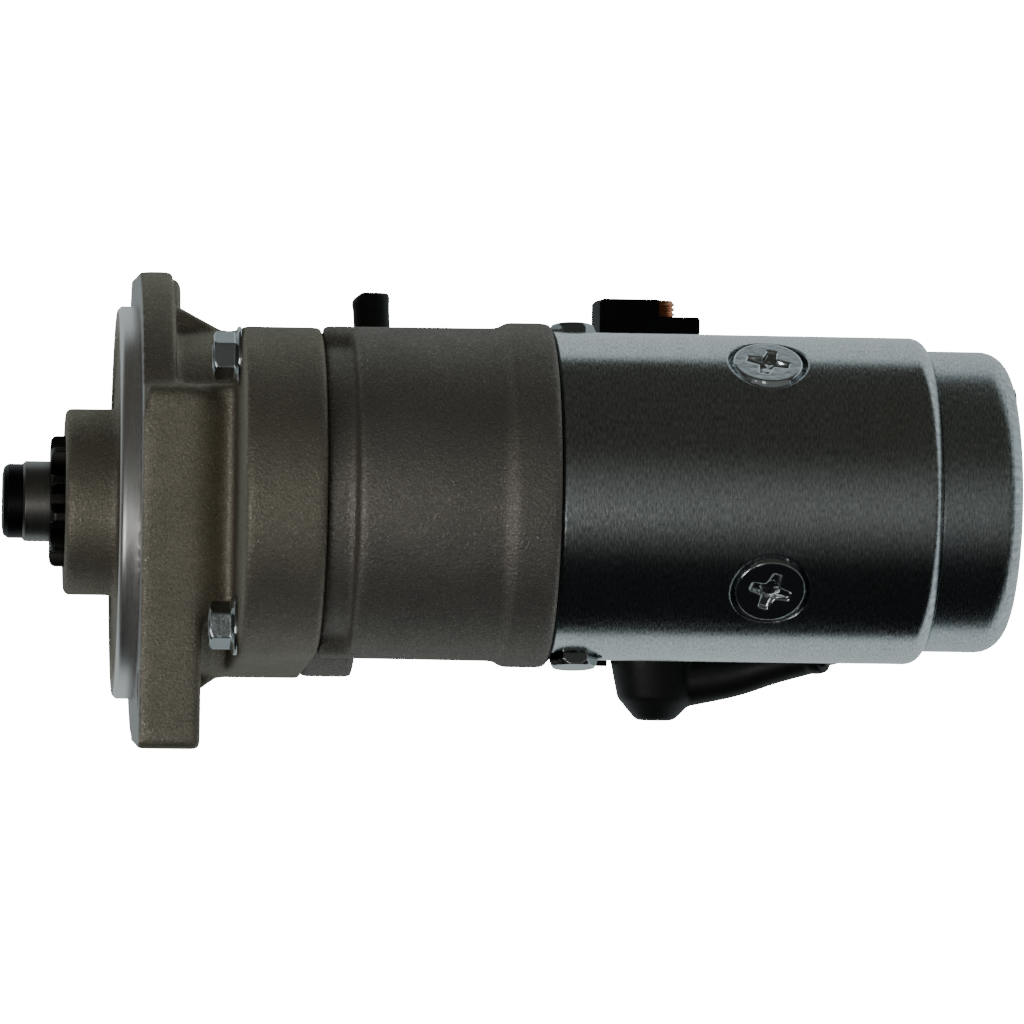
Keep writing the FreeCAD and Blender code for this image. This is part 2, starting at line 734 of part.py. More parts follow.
def drive_housing():
    """Front casting: nose, pilot, flange and gear case."""
    nose = turned([(NOSE_X0, 0), (NOSE_X0, NOSE_R - NOSE_CHAMFER), (NOSE_X0 + NOSE_CHAMFER, NOSE_R),
                   (1, NOSE_R), (1, 0)], PINION_AXIS)
    pilot = turned([(PILOT_X0, 0), (PILOT_X0, PILOT_R - PILOT_CHAMFER),
                    (PILOT_X0 + PILOT_CHAMFER, PILOT_R), (1, PILOT_R), (1, 0)], PINION_AXIS)
    pilot = pilot.cut(ring(PILOT_X0 - 1, PILOT_X0 + PILOT_RECESS, PILOT_RECESS_R, NOSE_R, PINION_AXIS))
    far_body = disc(1, CASE_X1, FAR_R, PINION_AXIS)
    near_case = hull_block(CASE_X0, CASE_X1, PINION_AXIS, FAR_R, MOTOR_AXIS, NEAR_R)
    shelf = box((1, SHELF_X1), (SHELF_Y, 0), SHELF_Z)
    sides = along_x(shelf, SHELF_Y, SHELF_Z[0]) + along_x(shelf, SHELF_Y, SHELF_Z[1])
    shelf = shelf.makeFillet(SHELF_ROUND, sides)
    rear = [edge for edge in shelf.Edges
            if edge.BoundBox.XMin > SHELF_X1 - TINY and edge.BoundBox.YMax < SHELF_Y + SHELF_ROUND + TINY]
    shelf = shelf.makeFillet(SHELF_FALL_R, rear)
    neck = box((1, CASE_X0 + 1), (SHELF_NECK_Y, 0), SHELF_Z)
    top_web = web(GUSSET_X1, FAR_R, FLANGE_X1, TOP_WEB_Z)
    low_web = web(GUSSET_X1, -FAR_R, FLANGE_X1, LOW_WEB_Z)
    body = nose.fuse([pilot, flange_plate(), far_body, near_case, shelf, neck, top_web, low_web])
    cavity = hull_block(CASE_CAVITY_X0, CASE_X1 + 1, PINION_AXIS, FAR_CAVITY_R,
                        MOTOR_AXIS, NEAR_CAVITY_R)
    seat = CLUTCH_BEARING_SEAT
    cuts = [cavity,
            disc(NOSE_X0 - 1, seat[1], NOSE_BORE_R, PINION_AXIS),
            disc(seat[0], CASE_CAVITY_X0 + 1, CLUTCH_FRONT_BEARING[3], PINION_AXIS),
            disc(IDLER_PIN_X0, CASE_CAVITY_X0 + 1, IDLER_PIN_R, IDLER_AXIS),
            mount_hole(1), mount_hole(-1)]
    for side in (1, -1):
        axis = bolt_axis(side)
        cuts.append(disc(CASE_X0 - 1, CASE_X1 + 1, BOLT_HOLE_R, axis))
        cuts.append(disc(BOLT_ROOM_X0, CASE_X0, BOLT_FLANGE_R + BOLT_COUNTERBORE, axis))
    return body.cut(cuts).removeSplitter()


def centre_housing():
    """Second casting: gear case lid, motor cylinder with rim and spigot, switch barrel and nipple."""
    far_body = disc(CENTRE_X0, FAR_X1, FAR_REAR_R, PINION_AXIS)
    waist = hull_block(CENTRE_X0, WAIST_X1, PINION_AXIS, WAIST_R, MOTOR_AXIS, WAIST_R)
    profile = [(WAIST_X1 - 1, 0), (WAIST_X1 - 1, CYLINDER_R - 1), (WAIST_X1, CYLINDER_R),
               (RIM_RAMP[0], CYLINDER_R + 0.2), (RIM_RAMP[1], RIM_R), (RIM_X1 - RIM_ROUND, RIM_R),
               (RIM_X1 - 0.3, RIM_R - 0.3), (RIM_X1, RIM_R - RIM_ROUND),
               (RIM_X1, SPIGOT_R), (SPIGOT_X1, SPIGOT_R), (SPIGOT_X1, 0)]
    cylinder = turned(profile, MOTOR_AXIS)
    barrel = disc(CENTRE_X0 + 1, BARREL_X1, BARREL_R, PINION_AXIS)
    bridge = box((WAIST_X1 - 2, 92.0), (MOTOR_AXIS[0] + SPIGOT_R, -BARREL_BORE_R - 1),
                 (-BRIDGE_HALF_HEIGHT, BRIDGE_HALF_HEIGHT))
    nipple = rod(hose_foot(), hose_direction(), NIPPLE_R - TINY, NIPPLE_LENGTH)
    lugs = [disc(CENTRE_X0, WAIST_X1 + 1, LUG_R, bolt_axis(side)) for side in (1, -1)]
    body = far_body.fuse([waist, cylinder, barrel, bridge, nipple] + lugs)
    front = ARMATURE_FRONT_BEARING
    rear = CLUTCH_REAR_BEARING
    hollow = disc(WEB_X1, RIM_X1, CYLINDER_BORE_R, MOTOR_AXIS)
    ribs = [radial_box((WEB_X1 - 1, RIM_X1), MOTOR_AXIS, 30 + 360 * index / RIB_COUNT,
                       (RIB_INNER_R, CYLINDER_R - 1), RIB_THICK / 2) for index in range(RIB_COUNT)]
    cuts = [hollow.cut(ribs),
            disc(RIM_X1 - 1, SPIGOT_X1 + 1, SPIGOT_BORE_R, MOTOR_AXIS),
            disc(front[0], WEB_X1 + 1, front[3], MOTOR_AXIS),
            disc(CENTRE_X0 - 1, front[0] + 1, front[2] + 4, MOTOR_AXIS),
            disc(rear[0] - 1, rear[1], rear[3], PINION_AXIS),
            disc(rear[1] - 1, BARREL_FLOOR_X1 + 1, SPRING_BORE_R, PINION_AXIS),
            disc(BARREL_FLOOR_X1, BARREL_X1 + 1, BARREL_BORE_R, PINION_AXIS),
            disc(CENTRE_X0 - 1, IDLER_PIN_X1, IDLER_PIN_R, IDLER_AXIS),
            rod(hose_foot() - hose_direction() * SPRING_BORE_R, hose_direction(), NIPPLE_BORE_R, LONG)]
    for side in (1, -1):
        cuts.append(disc(CENTRE_X0 - 1, BOLT_SCREW_X1, BOLT_R, bolt_axis(side)))
    for angle in YOKE_BOLT_ANGLES:
        cuts.append(rod(place(YOKE_BOLT_X, MOTOR_AXIS, SPIGOT_BORE_R - 2, angle), outward(angle),
                        BOLT_R, SPIGOT_R))
    for angle in CAP_SCREW_ANGLES:
        start = place(BARREL_X1 - CAP_SCREW_IN - 2, PINION_AXIS, CAP_SCREW_PITCH_R, angle)
        cuts.append(rod(start, Vector(1, 0, 0), CAP_SCREW_R, LONG))
    return body.cut(cuts).removeSplitter()


# ======================================================================================================
# fasteners and yoke
# ======================================================================================================
def flange_bolts():
    """Two M6 bolts with dished hexagon heads and round flanges."""
    bolts = []
    ahead = Vector(1, 0, 0)
    for side in (1, -1):
        axis = bolt_axis(side)
        head = hexagon(place(BOLT_HEAD_X0, axis), ahead, Vector(0, 0, 1), BOLT_ACROSS,
                       CASE_X0 - BOLT_HEAD_X0)
        crown = turned([(BOLT_HEAD_X0, 0), (BOLT_HEAD_X0, BOLT_ACROSS / 2),
                        (BOLT_HEAD_X0 + BOLT_CROWN, BOLT_CROWN_R), (CASE_X0, BOLT_CROWN_R),
                        (CASE_X0, 0)], axis)
        flange_top = CASE_X0 - BOLT_FLANGE_THICK
        flange = turned([(flange_top, 0), (flange_top, BOLT_FLANGE_TOP_R),
                         (CASE_X0 - BOLT_FLANGE_RIM, BOLT_FLANGE_R), (CASE_X0, BOLT_FLANGE_R),
                         (CASE_X0, 0)], axis)
        dish_floor = BOLT_HEAD_X0 + BOLT_DISH
        dish = turned([(BOLT_HEAD_X0 - 1, 0), (BOLT_HEAD_X0 - 1, BOLT_DISH_R), (BOLT_HEAD_X0, BOLT_DISH_R),
                       (dish_floor, BOLT_DISH_FLOOR_R), (dish_floor, 0)], axis)
        shank = disc(CASE_X0 - 1, BOLT_X1, BOLT_R - TINY, axis)
        bolts.append(head.common(crown).fuse([flange, shank]).cut(dish).removeSplitter())
    return bolts


def yoke():
    """Steel tube with a rounded rear edge, bolt seats, screw sinks and the lead hole."""
    points = [(YOKE_X0, YOKE_BORE_R), (YOKE_X0, YOKE_R - YOKE_EDGE), (YOKE_X0 + YOKE_EDGE, YOKE_R)]
    for step in range(ARC_STEPS + 1):
        turn = math.radians(90.0 * step / ARC_STEPS)
        points.append((YOKE_X1 - YOKE_END_ROUND + YOKE_END_ROUND * math.sin(turn),
                       YOKE_R - YOKE_END_ROUND + YOKE_END_ROUND * math.cos(turn)))
    points.append((YOKE_X1, YOKE_BORE_R))
    body = turned(points, MOTOR_AXIS)
    cuts = []
    for angle in YOKE_BOLT_ANGLES:
        seat = place(YOKE_BOLT_X, MOTOR_AXIS, YOKE_BOLT_SEAT, angle)
        cuts.append(rod(seat, outward(angle), YOKE_BOLT_SEAT_R, LONG))
        cuts.append(rod(place(YOKE_BOLT_X, MOTOR_AXIS, YOKE_BORE_R - 3, angle), outward(angle),
                        BOLT_HOLE_R, YOKE_R))
    for angle in POLE_ANGLES:
        cuts.append(rod(place(POLE_X, MOTOR_AXIS, POLE_SCREW_SEAT, angle), outward(angle),
                        POLE_SCREW_SINK_R, LONG))
        cuts.append(rod(place(POLE_X, MOTOR_AXIS, YOKE_BORE_R - 3, angle), outward(angle),
                        POLE_SCREW_R + POLE_SCREW_PLAY, YOKE_R))
    cuts.append(rod(place(LEAD_ENTRY_X, MOTOR_AXIS, YOKE_BORE_R - 3, LEAD_ENTRY_ANGLE),
                    outward(LEAD_ENTRY_ANGLE), GROMMET_R - GROMMET_NECK, YOKE_R))
    return body.cut(cuts)


def yoke_bolts():
    """Two hexagon bolts that hold the yoke on the spigot."""
    bolts = []
    for angle in YOKE_BOLT_ANGLES:
        out = outward(angle)
        seat = place(YOKE_BOLT_X, MOTOR_AXIS, YOKE_BOLT_SEAT, angle)
        height = YOKE_BOLT_TOP - YOKE_BOLT_SEAT
        head = hexagon(seat, out, Vector(1, 0, 0), BOLT_ACROSS, height)
        corner_r = BOLT_ACROSS / math.sqrt(3)
        crown = Part.makeCone(corner_r + YOKE_BOLT_CROWN[0], corner_r + YOKE_BOLT_CROWN[1], height, seat, out)
        shank = rod(place(YOKE_BOLT_X, MOTOR_AXIS, YOKE_BOLT_IN, angle), out, BOLT_R - TINY,
                    YOKE_BOLT_SEAT - YOKE_BOLT_IN + 1)
        bolts.append(head.common(crown).fuse(shank).removeSplitter())
    return bolts


def pole_screws():
    """Four large pole screws with cross recesses, sunk in the yoke."""
    screws = []
    for angle in POLE_ANGLES:
        out = outward(angle)
        seat = place(POLE_X, MOTOR_AXIS, POLE_SCREW_SEAT, angle)
        height = POLE_SCREW_TOP - POLE_SCREW_SEAT
        head = Part.makeCone(POLE_SCREW_HEAD_R, POLE_SCREW_FLAT_R, height, seat, out)
        shank = rod(place(POLE_X, MOTOR_AXIS, POLE_SCREW_IN, angle), out, POLE_SCREW_R,
                    POLE_SCREW_SEAT - POLE_SCREW_IN + 1)
        screw = head.fuse(shank)
        for quarter in (0, 90):
            arm = box((-CROSS_LENGTH / 2, CROSS_LENGTH / 2), (-CROSS_WIDTH / 2, CROSS_WIDTH / 2),
                      (POLE_SCREW_TOP - CROSS_DEPTH, POLE_SCREW_TOP + 1))
            arm.rotate(Vector(0, 0, 0), Vector(0, 0, 1), CROSS_TURN + quarter)
            arm.rotate(Vector(0, 0, 0), Vector(1, 0, 0), 90 - angle)
            arm.translate(place(POLE_X, MOTOR_AXIS))
            screw = screw.cut(arm)
        screws.append(screw)
    return screws


def pole_shoes():
    """Four pole pieces pressed against the yoke's bore."""
    shoes = []
    for angle in POLE_ANGLES:
        shoe = sector(POLE_X0, POLE_X1, YOKE_BORE_R - TINY, POLE_IN_R, MOTOR_AXIS, angle,
                      POLE_HALF_ANGLE)
        hole = rod(place(POLE_X, MOTOR_AXIS, POLE_SCREW_IN - 0.5, angle), outward(angle),
                   POLE_SCREW_R + TINY, YOKE_R)
        shoes.append(shoe.cut(hole))
    return shoes


def field_coils():
    """Four flat coils, one wrapped round each pole."""
    coils = []
    for angle in POLE_ANGLES:
        outer = sector(COIL_X0, COIL_X1, COIL_OUT_R, COIL_IN_R, MOTOR_AXIS, angle, COIL_HALF_ANGLE)
        inner = sector(POLE_X0 - COIL_GAP_X, POLE_X1 + COIL_GAP_X, YOKE_R, ARMATURE_R, MOTOR_AXIS,
                       angle, COIL_GAP_ANGLE)
        coils.append(outer.cut(inner))
    return coils


# ======================================================================================================
# armature
# ======================================================================================================
def armature_shaft():
    """Shaft with the 11-tooth gear cut on its front end."""
    toothed = reduction_gear(ARMATURE_TEETH, MOTOR_AXIS, TOWARD_PINION + 180.0 / ARMATURE_TEETH)
    body = turned([(GEAR_X1 - 1, 0), (GEAR_X1 - 1, ARMATURE_NECK_R), (ARMATURE_GEAR_END, ARMATURE_NECK_R),
                   (ARMATURE_GEAR_END + 1, ARMATURE_FRONT_R), (ARMATURE_FRONT_BEARING[1], ARMATURE_FRONT_R),
                   (ARMATURE_FRONT_BEARING[1], ARMATURE_SHAFT_R), (COMMUTATOR_X1, ARMATURE_SHAFT_R),
                   (COMMUTATOR_X1, ARMATURE_STEP_R), (ARMATURE_REAR_BEARING[0], ARMATURE_STEP_R),
                   (ARMATURE_REAR_BEARING[0], ARMATURE_REAR_R), (ARMATURE_X1 - 0.4, ARMATURE_REAR_R),
                   (ARMATURE_X1 - 0.4, 0)], MOTOR_AXIS)
    return toothed.fuse(body).removeSplitter()


def slot_bars(x0, x1, inner, outer, width):
    """Straight bars that fill, or cut, the armature slots."""
    return [radial_box((x0, x1), MOTOR_AXIS, 360 * index / ARMATURE_SLOTS, (inner, outer), width / 2)
            for index in range(ARMATURE_SLOTS)]


def armature_core():
    """Laminated core with its slots."""
    core = ring(POLE_X0, POLE_X1, ARMATURE_R, ARMATURE_SHAFT_R, MOTOR_AXIS)
    return core.cut(slot_bars(POLE_X0 - 1, POLE_X1 + 1, ARMATURE_R - ARMATURE_SLOT_DEPTH,
                              ARMATURE_R + 1, ARMATURE_SLOT_WIDTH))


def armature_windings():
    """Bars in the slots joined by the two end windings."""
    slot_top = ARMATURE_R - WINDING_DEPTH
    bars = slot_bars(POLE_X0 - 1, POLE_X1 + 1, ARMATURE_R - ARMATURE_SLOT_DEPTH + WINDING_GAP, slot_top,
                     ARMATURE_SLOT_WIDTH - WINDING_GAP)
    trim = disc(POLE_X0 - 2, POLE_X1 + 2, slot_top, MOTOR_AXIS)
    core_front = POLE_X0 - WINDING_GAP
    core_rear = POLE_X1 + WINDING_GAP
    front = turned([(WINDING_X0, WINDING_BORE_R), (WINDING_X0, WINDING_R - WINDING_SHOULDER),
                    (WINDING_X0 + WINDING_SHOULDER, WINDING_R), (core_front, WINDING_R + 1),
                    (core_front, WINDING_BORE_R)], MOTOR_AXIS)
    rear = turned([(core_rear, WINDING_BORE_R), (core_rear, WINDING_R + 1), (WINDING_X1 - 2, WINDING_R - 1),
                   (WINDING_X1, COMMUTATOR_RISER_R), (WINDING_X1, WINDING_BORE_R)], MOTOR_AXIS)
    inside = [bar.common(trim) for bar in bars]
    return front.fuse([rear] + inside).removeSplitter()


def commutator():
    """Copper drum with risers and undercut slots."""
    drum = turned([(COMMUTATOR_X0, ARMATURE_SHAFT_R), (COMMUTATOR_X0, COMMUTATOR_RISER_R),
                   (COMMUTATOR_RISER_X1, COMMUTATOR_RISER_R), (COMMUTATOR_RISER_X1, COMMUTATOR_R),
                   (COMMUTATOR_X1, COMMUTATOR_R), (COMMUTATOR_X1, ARMATURE_SHAFT_R)], MOTOR_AXIS)
    cuts = [radial_box((COMMUTATOR_X0 - 1, COMMUTATOR_X1 + 1), MOTOR_AXIS,
                       360 * (index + 0.5) / COMMUTATOR_BARS, (COMMUTATOR_R - COMMUTATOR_CUT_DEPTH, 30.0),
                       COMMUTATOR_CUT / 2) for index in range(COMMUTATOR_BARS)]
    return drum.cut(cuts)


# ======================================================================================================
# gear train, clutch and pinion
# ======================================================================================================
def idler_gear():
    """Twenty-tooth idler with a longer hub."""
    toothed = reduction_gear(IDLER_TEETH, IDLER_AXIS, TOWARD_MOTOR)
    hub = disc(GEAR_X0 - IDLER_HUB_STEP, IDLER_HUB_X1, IDLER_HUB_R, IDLER_AXIS)
    bore = disc(GEAR_X0 - 2, IDLER_HUB_X1 + 1, IDLER_PIN_R + SHAFT_FIT, IDLER_AXIS)
    return toothed.fuse(hub).cut(bore).removeSplitter()


def clutch_gear():
    """Clutch outer: toothed ring with roller pockets, web and rear hub."""
    toothed = reduction_gear(CLUTCH_TEETH, PINION_AXIS, TOWARD_MOTOR + 180.0 / CLUTCH_TEETH)
    web = disc(GEAR_X1 - 1, CLUTCH_WEB_X1, CLUTCH_RING_R + 1.6, PINION_AXIS)
    hub = disc(GEAR_X1 - 1, CLUTCH_HUB_X1, CLUTCH_REAR_BEARING[2], PINION_AXIS)
    bore = disc(GEAR_X0 - 1, GEAR_X1 + 0.2, CLUTCH_LAND_R, PINION_AXIS)
    pockets = [sector(GEAR_X0 - 1, GEAR_X1 + 0.2, CLUTCH_RING_R, CLUTCH_LAND_R - 2, PINION_AXIS,
                      360 * index / ROLLER_COUNT, POCKET_HALF_ANGLE) for index in range(ROLLER_COUNT)]
    through = disc(GEAR_X0 - 1, CLUTCH_HUB_X1 + 1, CLUTCH_HUB_BORE_R, PINION_AXIS)
    return toothed.fuse([web, hub]).cut([bore, through] + pockets).removeSplitter()


def clutch_rollers():
    """Rollers between the clutch ring and the inner track."""
    length = GEAR_X1 - GEAR_X0 - 2 * ROLLER_END_GAP
    rollers = []
    for index in range(ROLLER_COUNT):
        angle = 360 * index / ROLLER_COUNT + ROLLER_TURN
        start = place(GEAR_X0 + ROLLER_END_GAP, PINION_AXIS, ROLLER_CENTRE_R, angle)
        rollers.append(rod(start, Vector(1, 0, 0), ROLLER_R, length))
    return rollers


def roller_springs():
    """Leaf spring block behind each roller."""
    springs = []
    for index in range(ROLLER_COUNT):
        angle = 360 * index / ROLLER_COUNT + LEAF_TURN
        springs.append(sector(GEAR_X0 + LEAF_END_GAP, GEAR_X1 - LEAF_END_GAP, ROLLER_CENTRE_R + LEAF_OUT,
                              ROLLER_CENTRE_R - LEAF_IN, PINION_AXIS, angle, LEAF_HALF_ANGLE))
    return springs


def clutch_inner():
    """Inner sleeve: bearing journal, shoulder, roller track, rear journal and splined bore."""
    front = CLUTCH_FRONT_BEARING
    body = turned([(CLUTCH_SLEEVE_X0, 0), (CLUTCH_SLEEVE_X0, front[2]), (front[1], front[2]),
                   (front[1], CLUTCH_SHOULDER_R), (GEAR_X0 - 1.4, CLUTCH_SHOULDER_R),
                   (GEAR_X0 - 0.6, CLUTCH_TRACK_R), (GEAR_X1 - 0.2, CLUTCH_TRACK_R),
                   (GEAR_X1 - 0.2, CLUTCH_JOURNAL_R), (CLUTCH_JOURNAL_X1, CLUTCH_JOURNAL_R),
                   (CLUTCH_JOURNAL_X1, 0)], PINION_AXIS)
    return body.cut(spline_bore(CLUTCH_SLEEVE_X0 - 1, CLUTCH_JOURNAL_X1 + 1))


def pinion_shaft():
    """Splined shaft that carries the pinion."""
    groove_x1 = COLLAR_X0 + 0.05
    body = turned([(SHAFT_X0, 0), (SHAFT_X0, SHAFT_R), (groove_x1 - SNAP_RING_THICK - 0.1, SHAFT_R),
                   (groove_x1 - SNAP_RING_THICK - 0.1, SNAP_RING_IN - 0.1),
                   (groove_x1, SNAP_RING_IN - 0.1), (groove_x1, SHAFT_R),
                   (SHAFT_SHOULDER[0], SHAFT_R), (SHAFT_SHOULDER[0], SHAFT_SHOULDER[2]),
                   (SHAFT_SHOULDER[1], SHAFT_SHOULDER[2]), (SHAFT_SHOULDER[1], SHAFT_R),
                   (SHAFT_X1 - SHAFT_TIP_CHAMFER, SHAFT_R), (SHAFT_X1, SHAFT_R - SHAFT_TIP_CHAMFER),
                   (SHAFT_X1, 0)], PINION_AXIS)
    keys = splines(FRONT_SPLINE[0], FRONT_SPLINE[1], PINION_AXIS, SPLINE_R, SPLINE_WIDTH)
    keys += splines(REAR_SPLINE[0], REAR_SPLINE[1], PINION_AXIS, SPLINE_R, SPLINE_WIDTH)
    return body.fuse(keys).removeSplitter()


def pinion_gear():
    """Eleven-tooth pinion, chamfered at the front, with a splined bore."""
    toothed = gear(PINION_X0, PINION_X1, PINION_AXIS, PINION_TEETH, PINION_MODULE, PINION_PRESSURE,
                   PINION_ADDENDUM, PINION_DEDENDUM, PINION_SHIFT, PINION_BACKLASH,
                   TOWARD_MOTOR + 180.0 / PINION_TEETH)
    tip_r = PINION_TEETH * PINION_MODULE / 2 + PINION_ADDENDUM * PINION_MODULE
    outer = [(PINION_X0, 0)]
    for step in range(ARC_STEPS + 1):
        turn = math.radians(90.0 * step / ARC_STEPS)
        outer.append((PINION_X0 + PINION_CHAMFER * (1 - math.cos(turn)),
                      tip_r + TINY - PINION_CHAMFER * (1 - math.sin(turn))))
    blank = turned(outer + [(PINION_X1, tip_r + TINY), (PINION_X1, 0)], PINION_AXIS)
    return toothed.common(blank).cut(spline_bore(PINION_X0 - 1, PINION_X1 + 1))


def stop_collar():
    """Grey collar in front of the pinion."""
    points = [(COLLAR_X0, SHAFT_R + SHAFT_FIT), (COLLAR_X0, COLLAR_R - COLLAR_CHAMFER),
              (COLLAR_X0 + COLLAR_CHAMFER, COLLAR_R),
              (PINION_X0, COLLAR_R), (PINION_X0, SHAFT_R + SHAFT_FIT)]
    collar = turned(points, PINION_AXIS)
    return collar.cut(spline_bore(FRONT_SPLINE[0] - 1, PINION_X0 + 1))


def snap_ring():
    """Split ring that holds the stop collar."""
    body = ring(COLLAR_X0 - SNAP_RING_THICK, COLLAR_X0, SNAP_RING_OUT, SNAP_RING_IN, PINION_AXIS)
    gap = box((COLLAR_X0 - 3, COLLAR_X0 + 1), (0, LONG), (-SNAP_RING_GAP / 2, SNAP_RING_GAP / 2))
    return body.cut(gap)


def shaft_cap():
    """Black domed cap over the shaft end and snap ring."""
    body = turned([(CAP_X0, 0), (CAP_X0, CAP_FLAT_R), (CAP_X0 + CAP_DOME / 2, CAP_SHOULDER_R),
                   (CAP_X0 + CAP_SHOULDER, CAP_R), (COLLAR_X0, CAP_R), (COLLAR_X0, 0)], PINION_AXIS)
    hollow = disc(SHAFT_X0, COLLAR_X0 + 1, SHAFT_R + TINY, PINION_AXIS)
    counterbore = disc(COLLAR_X0 - SNAP_RING_THICK - 0.1, COLLAR_X0 + 1, SNAP_RING_OUT + 0.1, PINION_AXIS)
    return body.cut([hollow, counterbore])


# ======================================================================================================
# rear cover and brush gear
# ======================================================================================================
def rear_cover():
    """Pressed drum with a rounded corner, a locating lip and a bearing cup."""
    outer = [(COVER_LIP_X0, COVER_LIP_IN), (COVER_LIP_X0, COVER_LIP_R), (YOKE_X1, COVER_LIP_R),
             (YOKE_X1, COVER_R)]
    for step in range(ARC_STEPS + 1):
        turn = math.radians(90.0 * step / ARC_STEPS)
        outer.append((COVER_X1 - COVER_ROUND + COVER_ROUND * math.sin(turn),
                      COVER_R - COVER_ROUND + COVER_ROUND * math.cos(turn)))
    outer.append((COVER_X1, 0))
    wall_x = COVER_X1 - COVER_END
    inner_round = COVER_ROUND - COVER_WALL
    outer.append((wall_x + 0.8, 0))
    outer.append((wall_x + 0.8, ARMATURE_REAR_BEARING[3] - 2))
    outer.append((ARMATURE_REAR_BEARING[1], ARMATURE_REAR_BEARING[3] - 2))
    outer.append((ARMATURE_REAR_BEARING[1], ARMATURE_REAR_BEARING[3]))
    outer.append((ARMATURE_REAR_BEARING[0], ARMATURE_REAR_BEARING[3]))
    outer.append((ARMATURE_REAR_BEARING[0], COVER_CUP_R))
    outer.append((wall_x, COVER_CUP_R))
    for step in range(ARC_STEPS + 1):
        turn = math.radians(90.0 - 90.0 * step / ARC_STEPS)
        outer.append((wall_x - inner_round + inner_round * math.sin(turn),
                      COVER_R - COVER_WALL - inner_round + inner_round * math.cos(turn)))
    outer.append((YOKE_X1 + 2, COVER_LIP_IN))
    body = turned(outer, MOTOR_AXIS)
    cuts = []
    for angle in COVER_SCREW_ANGLES:
        start = place(YOKE_X1, MOTOR_AXIS, COVER_SCREW_PITCH_R, angle)
        cuts.append(rod(start, Vector(1, 0, 0), COVER_SCREW_R + 0.2, LONG))
        sink = place(COVER_X1 - COVER_SCREW_SINK, MOTOR_AXIS, COVER_SCREW_PITCH_R, angle)
        cuts.append(Part.makeCone(COVER_SCREW_R, COVER_SCREW_HEAD_R + 0.1, COVER_SCREW_SINK, sink,
                                  Vector(1, 0, 0)))
    return body.cut(cuts)


def cover_screws():
    """Two countersunk screws from the cover's end into the brush plate."""
    screws = []
    for angle in COVER_SCREW_ANGLES:
        start = place(BRUSH_PLATE[0], MOTOR_AXIS, COVER_SCREW_PITCH_R, angle)
        shank = rod(start, Vector(1, 0, 0), COVER_SCREW_R - TINY, COVER_X1 - BRUSH_PLATE[0] - 1)
        sink = place(COVER_X1 - COVER_SCREW_SINK, MOTOR_AXIS, COVER_SCREW_PITCH_R, angle)
        head = Part.makeCone(COVER_SCREW_R - TINY, COVER_SCREW_HEAD_R - 0.2, COVER_SCREW_SINK - 0.1, sink,
                             Vector(1, 0, 0))
        screw = shank.fuse(head)
        for quarter in (0, 90):
            arm = box((COVER_X1 - COVER_CROSS[2], COVER_X1 + 1), (-COVER_CROSS[0] / 2, COVER_CROSS[0] / 2),
                      (-COVER_CROSS[1] / 2, COVER_CROSS[1] / 2))
            arm.rotate(Vector(0, 0, 0), Vector(1, 0, 0), quarter + CROSS_TURN)
            arm.translate(place(0, MOTOR_AXIS, COVER_SCREW_PITCH_R, angle))
            screw = screw.cut(arm)
        screws.append(screw)
    return screws


def brush_angles():
    """Angles of the brushes around the commutator."""
    return [BRUSH_TURN + 360 * index / BRUSH_COUNT for index in range(BRUSH_COUNT)]


def brush_plate():
    """Steel plate that carries the brush holders."""
    plate = ring(BRUSH_PLATE[0], BRUSH_PLATE[1], COVER_LIP_R, BRUSH_PLATE_BORE, MOTOR_AXIS)
    holes = [rod(place(BRUSH_PLATE[0] - 1, MOTOR_AXIS, COVER_SCREW_PITCH_R, angle), Vector(1, 0, 0),
                 COVER_SCREW_R, LONG) for angle in COVER_SCREW_ANGLES]
    return plate.cut(holes)


def brush_holders():
    """Four open boxes on the plate."""
    holders = []
    for angle in brush_angles():
        outer = radial_box((BRUSH_PLATE[1], BRUSH_X[1] + HOLDER_WALL), MOTOR_AXIS, angle,
                           (HOLDER_IN_R, HOLDER_OUT_R), BRUSH_WIDTH / 2 + HOLDER_WALL)
        inner = radial_box((BRUSH_X[0] - 0.1, BRUSH_X[1] + 0.1), MOTOR_AXIS, angle,
                           (HOLDER_IN_R - 2, HOLDER_OUT_R - HOLDER_WALL), BRUSH_WIDTH / 2 + 0.1)
        holders.append(outer.cut(inner))
    return holders


def brushes():
    """Four carbon brushes with hollow-ground ends."""
    solids = []
    face = disc(BRUSH_X[0] - 1, BRUSH_X[1] + 1, COMMUTATOR_R + BRUSH_CLEAR, MOTOR_AXIS)
    for angle in brush_angles():
        solids.append(radial_box(BRUSH_X, MOTOR_AXIS, angle, (COMMUTATOR_R - 2, BRUSH_OUT_R),
                                 BRUSH_WIDTH / 2).cut(face))
    return solids


def brush_springs():
    """Four coil springs that press the brushes inward."""
    solids = []
    length = HOLDER_OUT_R - HOLDER_WALL - BRUSH_OUT_R
    for angle in brush_angles():
        coil = spring(TINY, length - TINY, BRUSH_SPRING_R, BRUSH_SPRING_WIRE, BRUSH_SPRING_TURNS, PINION_AXIS)
        coil.rotate(Vector(0, 0, 0), Vector(0, 0, 1), -90)
        coil.translate(Vector((BRUSH_X[0] + BRUSH_X[1]) / 2, -BRUSH_OUT_R, 0))
        coil.rotate(Vector(0, 0, 0), Vector(1, 0, 0), -angle)
        coil.translate(place(0, MOTOR_AXIS))
        solids.append(coil)
    return solids


# ======================================================================================================
# magnetic switch
# ======================================================================================================
def switch_core():
    """Fixed core that closes the front of the coil."""
    body = disc(CORE_X0, CORE_PLATE_X1, BARREL_BORE_R - TINY, PINION_AXIS)
    plug = disc(CORE_X0, CORE_X1, CORE_PLUG_R, PINION_AXIS)
    return body.fuse(plug).cut(disc(CORE_X0 - 1, CORE_X1 + 1, CORE_BORE_R, PINION_AXIS))


